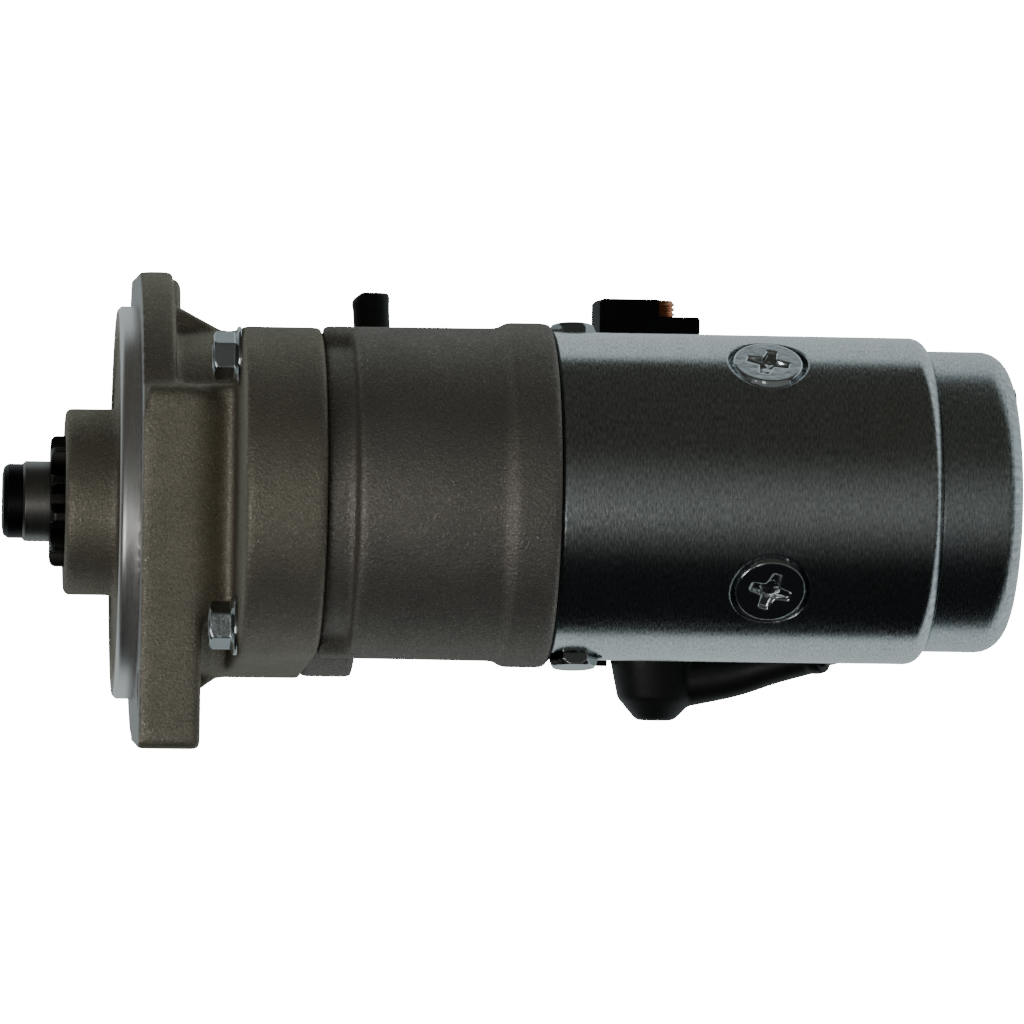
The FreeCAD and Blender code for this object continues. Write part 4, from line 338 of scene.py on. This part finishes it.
def zinc_turned(name, axis, tint=(0.66, 0.71, 0.72), rough=(0.13, 0.24)):
    """Zinc plate over turned or rolled steel: fine lines run round the axis."""
    n = Nodes(name)
    x, radius, angle = n.around(axis)
    across = n.math("ADD", x, radius)
    fine_lines = n.join(n.math("MULTIPLY", across, 2600.0), n.math("MULTIPLY", angle, 24.0), 0.0)
    fine = n.noise(fine_lines, 1.0, 3.0, 0.65)
    broad_lines = n.join(n.math("MULTIPLY", across, 260.0), n.math("MULTIPLY", angle, 1.6), 0.0)
    broad = n.noise(broad_lines, 1.0, 3.0, 0.6)
    cloud = n.noise(n.position, 28.0, 4.0, 0.6)
    stain = n.ramp(n.noise(n.position, 60.0, 5.0, 0.65), 0.5, 0.75)
    scuff = n.ramp(n.noise(n.scaled(n.position, (240.0, 900.0, 900.0)), 1.0, 2.0, 0.5, 0.6), 0.70, 0.76)
    tone = n.mix(n.ramp(broad, 0.3, 0.7), tuple(0.86 * c for c in tint), tint)
    tone = n.mix(n.math("MULTIPLY", stain, 0.35), tone, (0.62, 0.60, 0.52))
    tone = n.mix(n.math("MULTIPLY", scuff, 0.25), tone, (0.40, 0.42, 0.43))
    tone = n.mix(n.ramp(fine, 0.36, 0.50, 0.55, 0.0), tone, tuple(0.35 * c for c in tint))
    tone = n.mix(n.ramp(fine, 0.54, 0.68, 0.0, 0.75), tone, (0.99, 0.99, 0.94))
    n.set("Base Color", tone)
    n.set("Metallic", 1.0)
    n.set("Roughness", n.math("ADD", n.ramp(fine, 0.25, 0.75, rough[0], rough[1]),
                              n.ramp(cloud, 0.3, 0.7, -0.02, 0.05)))
    streak = n.math("ADD", n.math("MULTIPLY", fine, 0.8), n.math("MULTIPLY", broad, 0.2))
    n.set("Normal", n.bump(streak, 0.00004, 0.8, n.round_edges(0.9 * MM)))
    return n.material


def zinc_small(name, smooth, rough, face, edge):
    """Zinc-plated fasteners, painted brighter at their edges: partly wear of the plate, partly a painted
    highlight where the edges catch light.
    """
    n = Nodes(name)
    cloud = n.noise(n.position, 300.0, 4.0, 0.6)
    fine = n.noise(n.position, 2400.0, 2.0, 0.5)
    rounded = n.round_edges(0.6 * MM)
    agree = n.add("ShaderNodeVectorMath", operation="DOT_PRODUCT")
    n.link(rounded, agree.inputs[0])
    n.link(n.normal, agree.inputs[1])
    # edges painted towards the bright edge tone: partly wear, partly a painted highlight
    wear_and_edge_highlight = n.ramp(agree.outputs["Value"], 0.995, 0.93)
    plate = n.mix(cloud, tuple(0.85 * c for c in face), tuple(1.1 * c for c in face))
    n.set("Base Color", n.mix(wear_and_edge_highlight, plate, edge))
    n.set("Metallic", 1.0)
    n.set("Roughness", n.ramp(fine, 0.3, 0.7, smooth, rough))
    n.set("Normal", n.bump(cloud, 0.00008, 0.5, rounded))
    return n.material


def turned_steel(name, dark, light, rough, axis=PINION):
    """Bare or blacked steel with lathe lines round an axis."""
    n = Nodes(name)
    x, radius, angle = n.around(axis)
    lines = n.noise(n.join(n.math("MULTIPLY", x, 4200.0), n.math("MULTIPLY", radius, 4200.0),
                           n.math("MULTIPLY", angle, 1.5)), 1.0, 3.0, 0.6)
    cloud = n.noise(n.position, 180.0, 4.0, 0.6)
    n.set("Base Color", n.mix(n.math("MULTIPLY", n.math("ADD", lines, cloud), 0.5), dark, light))
    n.set("Metallic", 0.95)
    n.set("Roughness", n.ramp(lines, 0.3, 0.7, rough, rough + 0.15))
    n.set("Normal", n.bump(lines, 0.00003, 0.6, n.round_edges(0.3 * MM)))
    return n.material


def copper(name, dark=(0.50, 0.20, 0.10), light=(0.86, 0.47, 0.30), rough=0.28):
    """Copper with slight tarnish."""
    n = Nodes(name)
    cloud = n.noise(n.position, 260.0, 4.0, 0.6)
    fine = n.noise(n.position, 2600.0, 2.0, 0.5)
    n.set("Base Color", n.mix(cloud, dark, light))
    n.set("Metallic", 1.0)
    n.set("Roughness", n.ramp(fine, 0.3, 0.7, rough, rough + 0.14))
    n.set("Normal", n.bump(fine, 0.00005, 0.4, n.round_edges(0.2 * MM)))
    return n.material


def black_soft(name, tone=(0.014, 0.014, 0.014), rough=0.48, grain=900.0, dust=0.35, gloss=0.45):
    """Moulded rubber or plastic with a faint dusty bloom."""
    n = Nodes(name)
    fine = n.noise(n.position, grain, 3.0, 0.6)
    cloud = n.noise(n.position, 70.0, 4.0, 0.65)
    light = tuple(2.4 * c + 0.006 for c in tone)
    n.set("Base Color", n.mix(n.ramp(cloud, 0.35, 0.75, 0.0, dust), tone, light))
    n.set("Roughness", n.ramp(cloud, 0.3, 0.7, rough - 0.06, rough + 0.12))
    n.set("Normal", n.bump(fine, 0.00006, 0.5, n.round_edges(0.4 * MM)))
    n.set("Specular IOR Level", gloss)
    return n.material


def enamel_wire(name):
    """Varnished winding."""
    n = Nodes(name)
    x, radius, _ = n.around(MOTOR)
    strands = n.add("ShaderNodeTexWave", wave_type="BANDS")
    in_mm = n.join(n.math("MULTIPLY", radius, 1000.0), n.math("MULTIPLY", x, 1000.0), 0.0)
    n.link(in_mm, strands.inputs["Vector"])
    strands.inputs["Scale"].default_value = 0.5
    cloud = n.noise(n.position, 120.0, 3.0, 0.6)
    n.set("Base Color", n.mix(cloud, (0.30, 0.10, 0.04), (0.52, 0.22, 0.09)))
    n.set("Metallic", 0.6)
    n.set("Roughness", n.ramp(cloud, 0.3, 0.7, 0.25, 0.4))
    n.set("Normal", n.bump(strands.outputs["Fac"], 0.0002, 0.6))
    return n.material


def plain_mould(name, dark, light, rough):
    """Nylon, carbon and other moulded inner pieces."""
    n = Nodes(name)
    cloud = n.noise(n.position, 200.0, 4.0, 0.6)
    n.set("Base Color", n.mix(cloud, dark, light))
    n.set("Roughness", n.ramp(cloud, 0.3, 0.7, rough, rough + 0.15))
    n.set("Normal", n.bump(cloud, 0.0001, 0.5, n.round_edges(0.3 * MM)))
    return n.material


CAST = cast_metal("cast aluminium", (0.475, 0.445, 0.40))
CAST_MACHINED = cast_metal("cast aluminium, machined front", (0.52, 0.485, 0.395), True)
PILOT_MACHINED = cast_metal("machined pilot ring", (0.52, 0.485, 0.395), True, 1.0)
ZINC_YOKE = zinc_turned("zinc yoke", MOTOR)
ZINC_COVER = zinc_turned("zinc cover", MOTOR, (0.62, 0.68, 0.70), (0.20, 0.30))
ZINC_SMALL = zinc_small("zinc fasteners", 0.08, 0.16, (0.36, 0.39, 0.39), (0.88, 0.93, 0.95))
SCREW_ZINC = zinc_small("zinc screws", 0.08, 0.18, (0.66, 0.70, 0.72), (0.86, 0.90, 0.92))
STEEL = turned_steel("bright steel", (0.42, 0.41, 0.40), (0.62, 0.61, 0.60), 0.22)
COLLAR_STEEL = turned_steel("grey collar steel", (0.20, 0.195, 0.18), (0.36, 0.35, 0.33), 0.34)
BLACK_STEEL = turned_steel("blacked steel", (0.012, 0.012, 0.012), (0.04, 0.04, 0.04), 0.36)
GEAR_STEEL = turned_steel("gear steel", (0.03, 0.028, 0.026), (0.085, 0.08, 0.075), 0.34)
LAMINATED = turned_steel("laminations", (0.20, 0.20, 0.21), (0.34, 0.34, 0.35), 0.35, MOTOR)
COPPER = copper("copper")
BRASS = copper("brass", (0.55, 0.42, 0.18), (0.78, 0.64, 0.36), 0.3)
WIRE = enamel_wire("enamelled wire")
RUBBER = black_soft("black rubber")
LEAD_RUBBER = black_soft("lead rubber", (0.012, 0.012, 0.013), 0.40, 600.0, 0.2)
PLASTIC = black_soft("black plastic", (0.016, 0.016, 0.016), 0.58, 700.0, 0.3, 0.12)
NYLON = plain_mould("nylon", (0.62, 0.58, 0.48), (0.78, 0.75, 0.66), 0.4)
CARBON = plain_mould("carbon", (0.03, 0.03, 0.03), (0.08, 0.07, 0.06), 0.4)

BY_SLOT = {
    "cast_aluminium": CAST, "zinc_steel": ZINC_SMALL, "bright_steel": STEEL, "dark_steel": GEAR_STEEL,
    "laminated_steel": LAMINATED, "copper": COPPER, "enamelled_copper": WIRE, "rubber": RUBBER,
    "black_plastic": PLASTIC, "nylon": NYLON, "carbon": CARBON, "brass_blade": BRASS,
}
BY_NODE = {
    "drive_housing": CAST_MACHINED, "yoke": ZINC_YOKE, "rear_cover": ZINC_COVER,
    "shaft_cap": BLACK_STEEL, "stop_collar": COLLAR_STEEL, "motor_lead": LEAD_RUBBER,
    "signal_terminal": BLACK_STEEL,
}


def dress(obj, material):
    """Gives an object one material."""
    obj.data.materials.clear()
    obj.data.materials.append(material)


SLOT_OF = {entry["node"]: entry["material_slot"] for entry in frame["record"]["subparts"]}
for node_name, obj in NODES.items():
    dress(obj, BY_NODE.get(node_name, BY_SLOT[SLOT_OF[node_name]]))


# ------------------------------------------------------------------ shapes
def finish_mesh(name, verts, faces, material):
    """Smooth-shaded object from points in mm."""
    mesh = bpy.data.meshes.new(name)
    mesh.from_pydata([Vector(v) * MM for v in verts], [], faces)
    mesh.update()
    work = bmesh.new()
    work.from_mesh(mesh)
    bmesh.ops.recalc_face_normals(work, faces=work.faces)
    work.to_mesh(mesh)
    work.free()
    obj = bpy.data.objects.new(name, mesh)
    bpy.context.scene.collection.objects.link(obj)
    dress(obj, material)
    for polygon in mesh.polygons:
        polygon.use_smooth = True
    return obj


def ring_faces(rings, count, closed=False):
    """Faces between rings of points; closed joins the last ring to the first."""
    faces = []
    for r in range(rings if closed else rings - 1):
        up = (r + 1) % rings
        for c in range(count):
            nxt = (c + 1) % count
            faces.append((r * count + c, r * count + nxt, up * count + nxt, up * count + c))
    return faces


def capped_skin(name, rows, material):
    """Closed skin over rows of points, each row a ring, with both ends capped."""
    count = len(rows[0])
    last = (len(rows) - 1) * count
    faces = ring_faces(len(rows), count)
    faces.append(tuple(range(count - 1, -1, -1)))
    faces.append(tuple(range(last, last + count)))
    return finish_mesh(name, [point for row in rows for point in row], faces, material)


def looped_skin(name, rows, material):
    """Closed skin whose last ring of points meets the first, as on a tube wall."""
    points = [point for row in rows for point in row]
    return finish_mesh(name, points, ring_faces(len(rows), len(rows[0]), True), material)


def circle(centre, side, over, radius, count):
    """Ring of points about a centre, in the plane of two unit vectors."""
    turns = [2 * math.pi * c / count for c in range(count)]
    return [centre + (side * math.cos(turn) + over * math.sin(turn)) * radius for turn in turns]


def turned_piece(name, profile, axis, material, count=96):
    """Closed ring of revolution about an X-parallel axis, from (x, r) points."""
    rows = [circle(Vector((x, *axis)), Vector((0, 1, 0)), Vector((0, 0, 1)), r, count) for x, r in profile]
    return looped_skin(name, rows, material)


def threaded_stud():
    """M8 copper stud: plain shank inside the cap and thread above the shroud's floor."""
    rows = []
    steps = int((STUD_TOP - STUD_FOOT) / STUD_PITCH * STUD_STEPS)
    for step in range(steps + 1):
        z = STUD_FOOT + (STUD_TOP - STUD_FOOT) * step / steps
        row = []
        for c in range(STUD_AROUND):
            turn = 2 * math.pi * c / STUD_AROUND
            phase = (z / STUD_PITCH - c / STUD_AROUND) % 1.0
            cut = STUD_THREAD * min(1.0, max(0.0, (abs(2 * phase - 1) - STUD_CREST) / STUD_FLANK))
            lead_in = max(0.0, STUD_LEAD_IN - (STUD_TOP - z))
            r = STUD_R - max(cut, lead_in) if z > SHROUD_FLOOR else STUD_SHANK_R
            row.append((STUD_X + r * math.cos(turn), r * math.sin(turn), z))
        rows.append(row)
    return capped_skin("threaded_battery_stud", rows, COPPER)


def path_frames(points):
    """Unit frames along a line of points."""
    frames = []
    up = Vector((0, 0, 1))
    for i, point in enumerate(points):
        ahead = points[min(i + 1, len(points) - 1)] - points[max(i - 1, 0)]
        ahead.normalize()
        side = ahead.cross(up)
        if side.length < 0.05:
            side = ahead.cross(Vector((0, 1, 0)))
        side.normalize()
        over = side.cross(ahead)
        frames.append((point, side, over))
    return frames


def smooth_path(points, per=12):
    """Catmull-Rom line through control points."""
    pts = [Vector(p) for p in points]
    pts = [pts[0] * 2 - pts[1]] + pts + [pts[-1] * 2 - pts[-2]]
    line = []
    for i in range(1, len(pts) - 2):
        for s in range(per):
            t = s / per
            a, b, c, d = pts[i - 1], pts[i], pts[i + 1], pts[i + 2]
            line.append(0.5 * ((2 * b) + (c - a) * t + (2 * a - 5 * b + 4 * c - d) * t * t
                               + (3 * b - a - 3 * c + d) * t ** 3))
    line.append(pts[-2])
    return line


def tube(name, points, radius, material, around=40, wobble=0.0):
    """Round bar along a path; radius is a number or a function of the fraction travelled."""
    rows = []
    frames = path_frames(points)
    for i, (point, side, over) in enumerate(frames):
        r = radius(i / (len(frames) - 1)) if callable(radius) else radius
        row = []
        for c in range(around):
            turn = 2 * math.pi * c / around
            out = side * math.cos(turn) + over * math.sin(turn)
            ripple = 1.0 + wobble * noise.noise((point + out * r) * 0.35)
            row.append(point + out * r * ripple)
        rows.append(row)
    return capped_skin(name, rows, material)


def lead_entry():
    """Direction of the lead's hole in the yoke, seen from the motor axis."""
    turn = math.radians(LEAD_ANGLE)
    return Vector((0, -math.cos(turn), math.sin(turn)))


def lead_line():
    """Path of the lead from its lug to inside the yoke."""
    out = lead_entry()
    entry = Vector((LEAD_X, *MOTOR)) + out * LEAD_DEPTH
    return smooth_path(list(LEAD_POINTS) + [tuple(entry + out * LEAD_RUN), tuple(entry)])


def remeshed(parts, name, voxel, passes, material):
    """Joins pieces into one skin, as a moulding."""
    base = parts[0]
    bpy.ops.object.select_all(action="DESELECT")
    for part in parts:
        part.select_set(True)
    bpy.context.view_layer.objects.active = base
    bpy.ops.object.join()
    base.name = name
    shrink = base.modifiers.new("skin", "REMESH")
    shrink.mode = "VOXEL"
    shrink.voxel_size = voxel * MM
    shrink.use_smooth_shade = True
    relax = base.modifiers.new("relax", "SMOOTH")
    relax.factor = 0.5
    relax.iterations = passes
    bpy.ops.object.modifier_apply(modifier="skin")
    bpy.ops.object.modifier_apply(modifier="relax")
    dress(base, material)
    return base


def sleeve_radius(t):
    """Radius of the boot's sleeve, which ends in a small bead."""
    bead = SLEEVE_BEAD if t > SLEEVE_BEAD_FROM else 0.0
    return SLEEVE_R - SLEEVE_TAPER * min(1.0, t * SLEEVE_TAPER_RATE) + bead


def lead_boot():
    """Rubber cap over the motor terminal with a tapering sleeve along the lead."""
    side, over = Vector((1, 0, 0)), Vector((0, 1, 0))
    rows = [circle(Vector((BOOT_X + shift, 0, z)), side, over, r, 48) for z, r, shift in BOOT_OUTLINE]
    cup = capped_skin("boot_cup", rows, RUBBER)
    sleeve = tube("boot_sleeve", smooth_path(SLEEVE_POINTS), sleeve_radius, RUBBER)
    return remeshed([cup, sleeve], "rubber_boot", BOOT_VOXEL, BOOT_PASSES, RUBBER)


def hose_top(x):
    """Height of the hose's cut end, which falls away on its left side."""
    return HOSE_TOP - HOSE_CUT_FALL * max(0.0, HOSE_X - HOSE_CUT - x)


def vent_hose():
    """Rubber hose with a slanted cut top and an open bore."""
    foot = Vector((HOSE_X, HOSE_Y, HOSE_FOOT_Z))
    ahead = Vector((HOSE_LEAN, 0, 1)).normalized()
    side = Vector((0, 1, 0))
    over = side.cross(ahead).normalized()
    rows = []
    for step in range(HOSE_RINGS):
        s = HOSE_START + HOSE_STEP * step
        swell = HOSE_RIPPLE * math.sin(s * HOSE_RIPPLE_RATE)
        swell += HOSE_FLARE * max(0.0, (s - HOSE_FLARE_FROM) / HOSE_FLARE_RUN)
        rows.append(circle(foot + ahead * s, side, over, HOSE_R + swell, 40))
    for r, drop in HOSE_LIP:
        rim = circle(foot + ahead * HOSE_LENGTH, side, over, r, 40)
        rows.append([point + ahead * (hose_top(point.x) - drop - point.z) for point in rim])
    for s in HOSE_BORE_STATIONS:
        rows.append(circle(foot + ahead * s, side, over, HOSE_BORE_R, 40))
    return looped_skin("rubber_vent_hose", rows, RUBBER)


def grommet():
    """Rubber ring round the lead at the yoke."""
    out = lead_entry()
    base = Vector((LEAD_X, *MOTOR)) + out * YOKE_WALL_R
    side = Vector((1, 0, 0))
    over = out.cross(side)
    rows = [circle(base + out * h, side, over, r, 48) for h, r in GROMMET_OUTLINE]
    return looped_skin("rubber_grommet", rows, RUBBER)


def recess_depth(u, v):
    """Depth of a cross recess at a point of the screw's face."""
    deep = 0.0
    for along, across in ((abs(u), abs(v)), (abs(v), abs(u))):
        half = RECESS_HALF + RECESS_FLARE * math.exp(-along / RECESS_FLARE)
        side = min(1.0, max(0.0, (half - across) / RECESS_SIDE_WALL))
        end = min(1.0, max(0.0, (RECESS_END - along) / RECESS_END_WALL))
        floor_at = RECESS_FLOOR + RECESS_DIP * max(0.0, 1.0 - along / RECESS_DIP_REACH)
        deep = max(deep, floor_at * side * end)
    return deep


def rim_height(r, turn, seed):
    """Height of the head's bevelled edge, with the punch marks that lock it."""
    if r < SCREW_FLAT_R:
        return 0.0
    slope = (r - SCREW_FLAT_R) / SCREW_BEVEL_WIDTH
    height = -SCREW_BEVEL_DEPTH * slope ** 0.8
    for mark in range(PUNCH_MARKS):
        stray = 0.35 * noise.noise(Vector((mark * 3.7, seed, 1.5)))
        where = 2 * math.pi * (mark + stray) / PUNCH_MARKS
        gap = abs((turn - where + math.pi) % (2 * math.pi) - math.pi) * r
        if gap < PUNCH_HALF:
            height += PUNCH_RISE * (1.0 - gap / PUNCH_HALF) * min(1.0, slope * 2.2)
    ragged = noise.noise(Vector((4.0 * math.cos(turn), 4.0 * math.sin(turn), seed * 3.1)))
    return height + SCREW_RAGGED * ragged * min(1.0, slope)


def pole_screw(index, angle):
    """One pole screw head: flat face, cross recess, bevel and shank."""
    turn = math.radians(angle)
    out = Vector((0, -math.cos(turn), math.sin(turn)))
    side = Vector((1, 0, 0))
    over = side.cross(out) * -1
    top = Vector((SCREW_X, *MOTOR)) + out * SCREW_FACE
    spin = math.radians(SCREW_TURN)
    rows = []
    for ring_index in range(SCREW_RINGS):
        r = SCREW_CENTRE_R + (SCREW_HEAD_R - SCREW_CENTRE_R) * ring_index / (SCREW_RINGS - 1)
        row = []
        for c in range(SCREW_AROUND):
            at = 2 * math.pi * c / SCREW_AROUND
            x, y = r * math.cos(at), r * math.sin(at)
            u = x * math.cos(spin) + y * math.sin(spin)
            v = y * math.cos(spin) - x * math.sin(spin)
            height = rim_height(r, at, index) - recess_depth(u, v)
            height += SCREW_WAVE * noise.noise(Vector((x * 0.6, y * 0.6, index * 5.0)))
            row.append(top + side * x + over * y + out * min(height, 0.0))
        rows.append(row)
    for r, drop in SCREW_SHANK:
        rows.append(circle(top + out * drop, side, over, r, SCREW_AROUND))
    return capped_skin("pole_screw_%d" % index, rows, SCREW_ZINC)


def softened(node, name, passes, material, machined=None):
    """Copy of a casting with its corners and roots rounded, as sand casting leaves them.

    machined tells which points keep their place, because a cutter left them flat.
    """
    obj = bpy.data.objects.new(name, NODES[node].data.copy())
    bpy.context.scene.collection.objects.link(obj)
    obj.matrix_world = NODES[node].matrix_world.copy()
    bpy.ops.object.select_all(action="DESELECT")
    obj.select_set(True)
    bpy.context.view_layer.objects.active = obj
    skin = obj.modifiers.new("skin", "REMESH")
    skin.mode = "VOXEL"
    skin.voxel_size = CAST_VOXEL * MM
    skin.use_smooth_shade = True
    bpy.ops.object.modifier_apply(modifier="skin")
    world = obj.matrix_world
    group = obj.vertex_groups.new(name="cast")
    loose, cut = [], []
    for vertex in obj.data.vertices:
        point = world @ vertex.co
        (cut if machined and machined(point) else loose).append(vertex.index)
    group.add(loose, 1.0, "REPLACE")
    if cut:
        group.add(cut, MACHINED_HOLD, "REPLACE")
    relax = obj.modifiers.new("relax", "SMOOTH")
    relax.factor = 0.5
    relax.iterations = passes
    relax.vertex_group = "cast"
    bpy.ops.object.modifier_apply(modifier="relax")
    dress(obj, material)
    return obj


def is_machined(point):
    """True on the flange's front face."""
    return abs(point.x) < FLANGE_FACE_HALF * MM


def sink_pilot(obj):
    """Draws the casting in a little under the machined pilot ring that covers it."""
    world = obj.matrix_world
    back = world.inverted()
    for vertex in obj.data.vertices:
        point = world @ vertex.co
        radius = math.hypot(point.y, point.z)
        if point.x < PILOT_FRONT * MM and radius > PILOT_INNER_R * MM:
            shrink = (radius - PILOT_SINK * MM) / radius
            vertex.co = back @ Vector((point.x + PILOT_SINK * MM, point.y * shrink, point.z * shrink))


# ------------------------------------------------------------------ pieces
for screw_index, screw_angle in enumerate(SCREW_ANGLES):
    screw = pole_screw(screw_index, screw_angle)
    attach(screw, "housing")
    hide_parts("pole_screws")

soft_front = softened("drive_housing", "cast_drive_housing", FRONT_PASSES, CAST_MACHINED, is_machined)
sink_pilot(soft_front)
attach(soft_front, "housing")
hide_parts("drive_housing")

soft_centre = softened("centre_housing", "cast_centre_housing", CENTRE_PASSES, CAST)
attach(soft_centre, "housing")
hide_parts("centre_housing")

pilot = turned_piece("machined_pilot", PILOT_OUTLINE, PINION, PILOT_MACHINED, PILOT_AROUND)
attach(pilot, "housing")
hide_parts("drive_housing")

stud = threaded_stud()
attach(stud, "housing")
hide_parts("battery_stud")

boot = lead_boot()
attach(boot, "housing")
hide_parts("lead_boot")

lead = tube("insulated_lead", lead_line(), LEAD_R, LEAD_RUBBER, wobble=0.02)
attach(lead, "housing")
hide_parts("motor_lead")

hose = vent_hose()
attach(hose, "housing")
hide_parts("vent_hose")

ring = grommet()
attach(ring, "housing")
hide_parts("lead_grommet")

seal = turned_piece("rubber_seal", SEAL_OUTLINE, MOTOR, RUBBER)
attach(seal, "housing")
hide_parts("yoke_seal")


# ------------------------------------------------------------------ stage, light, camera
def floor():
    """Plain pale floor, left out of the object's reflections."""
    mesh = bpy.data.meshes.new("floor")
    corners = ((-1, -1), (1, -1), (1, 1), (-1, 1))
    mesh.from_pydata([(FLOOR_HALF * x, FLOOR_HALF * y, FLOOR_Z) for x, y in corners], [], [(0, 1, 2, 3)])
    obj = bpy.data.objects.new("floor", mesh)
    bpy.context.scene.collection.objects.link(obj)
    n = Nodes("pale floor")
    n.set("Base Color", n.mix(n.noise(n.position, 6.0), (0.82, 0.82, 0.82), (0.86, 0.86, 0.86)))
    n.set("Roughness", 0.7)
    n.set("Emission Color", (0.96, 0.97, 0.97, 1.0))
    n.set("Emission Strength", FLOOR_GLOW)
    dress(obj, n.material)
    obj.visible_glossy = False
    obj.visible_diffuse = False


def area_light(name, location, target, size, power):
    """Rectangular lamp that faces a target and isn't seen itself."""
    data = bpy.data.lights.new(name, "AREA")
    data.shape = "RECTANGLE"
    data.size, data.size_y = size
    data.energy = power
    obj = bpy.data.objects.new(name, data)
    bpy.context.scene.collection.objects.link(obj)
    obj.location = location
    direction = Vector(target) - Vector(location)
    obj.rotation_euler = direction.to_track_quat("-Z", "Y").to_euler()
    obj.visible_camera = False


def ramp_node(tree, value, low, high):
    """Smooth step between two values."""
    node = tree.nodes.new("ShaderNodeMapRange")
    node.interpolation_type = "SMOOTHSTEP"
    node.inputs["From Min"].default_value = low
    node.inputs["From Max"].default_value = high
    tree.links.new(value, node.inputs["Value"])
    return node.outputs["Result"]


def colour_mix(tree, factor, a, b):
    """Mix of two colours; each may be a socket."""
    node = tree.nodes.new("ShaderNodeMix")
    node.data_type = "RGBA"
    tree.links.new(factor, node.inputs["Factor"])
    for socket, value in ((node.inputs["A"], a), (node.inputs["B"], b)):
        if hasattr(value, "is_output"):
            tree.links.new(value, socket)
        else:
            socket.default_value = (*value, 1.0)
    return node.outputs["Result"]


def product(tree, a, b):
    """Product of two sockets."""
    node = tree.nodes.new("ShaderNodeMath")
    node.operation = "MULTIPLY"
    tree.links.new(a, node.inputs[0])
    tree.links.new(b, node.inputs[1])
    return node.outputs[0]


def studio_world():
    """White wrap behind the object and dark in front, as in a light tent open to the camera."""
    world = bpy.data.worlds.new("studio")
    bpy.context.scene.world = world
    world.use_nodes = True
    tree = world.node_tree
    tree.nodes.clear()
    add = tree.nodes.new
    out = add("ShaderNodeOutputWorld")
    coords = add("ShaderNodeTexCoord")
    split = add("ShaderNodeSeparateXYZ")
    tree.links.new(coords.outputs["Generated"], split.inputs[0])
    side = add("ShaderNodeMapRange")
    side.inputs["From Min"].default_value = 0.2
    side.inputs["From Max"].default_value = 1.0
    side.inputs["To Max"].default_value = 0.60
    tree.links.new(split.outputs["X"], side.inputs["Value"])
    reach = add("ShaderNodeMath")
    tree.links.new(split.outputs["Y"], reach.inputs[0])
    tree.links.new(side.outputs["Result"], reach.inputs[1])
    behind = ramp_node(tree, reach.outputs[0], *TENT_EDGE)
    above = ramp_node(tree, split.outputs["Z"], -0.15, 0.30)
    room = colour_mix(tree, above, ROOM_LOW, ROOM_HIGH)
    low_side = ramp_node(tree, split.outputs["Z"], -0.78, -0.12)
    high_side = ramp_node(tree, split.outputs["Z"], 0.62, -0.08)
    toward = ramp_node(tree, split.outputs["Y"], -0.2, -0.7)
    patch = product(tree, product(tree, low_side, high_side), toward)
    room = colour_mix(tree, patch, room, ROOM_PATCH)
    glow = colour_mix(tree, behind, room, TENT_WHITE)
    tent = add("ShaderNodeBackground")
    tree.links.new(glow, tent.inputs["Color"])
    white = add("ShaderNodeBackground")
    white.inputs["Color"].default_value = (1, 1, 1, 1)
    white.inputs["Strength"].default_value = BACKDROP
    path = add("ShaderNodeLightPath")
    mix = add("ShaderNodeMixShader")
    tree.links.new(path.outputs["Is Camera Ray"], mix.inputs[0])
    tree.links.new(tent.outputs[0], mix.inputs[1])
    tree.links.new(white.outputs[0], mix.inputs[2])
    tree.links.new(mix.outputs[0], out.inputs["Surface"])


def camera():
    """Long lens in front of the object, with a slight roll."""
    data = bpy.data.cameras.new("camera")
    data.lens = LENS
    data.sensor_width = 36.0
    data.clip_end = 20
    obj = bpy.data.objects.new("camera", data)
    bpy.context.scene.collection.objects.link(obj)
    ahead = Vector(CAMERA_AHEAD).normalized()
    right = Vector((ahead.y, -ahead.x, 0))
    up = Vector((0, 0, 1))
    right_rolled = right * math.cos(CAMERA_ROLL) + up * math.sin(CAMERA_ROLL)
    up_rolled = up * math.cos(CAMERA_ROLL) - right * math.sin(CAMERA_ROLL)
    turn = Matrix((right_rolled, up_rolled, -ahead)).transposed().to_4x4()
    turn.translation = Vector(CAMERA_AT_MM) * MM
    obj.matrix_world = turn
    bpy.context.scene.camera = obj


floor()
studio_world()
camera()
area_light("front lamp", (-0.02, -0.70, -0.14), (0.03, -0.06, 0.0), (0.10, 0.20), 0.12)
area_light("side lamp", (-0.45, -0.60, -0.22), (0.03, -0.06, -0.01), (0.25, 0.25), 1.1)
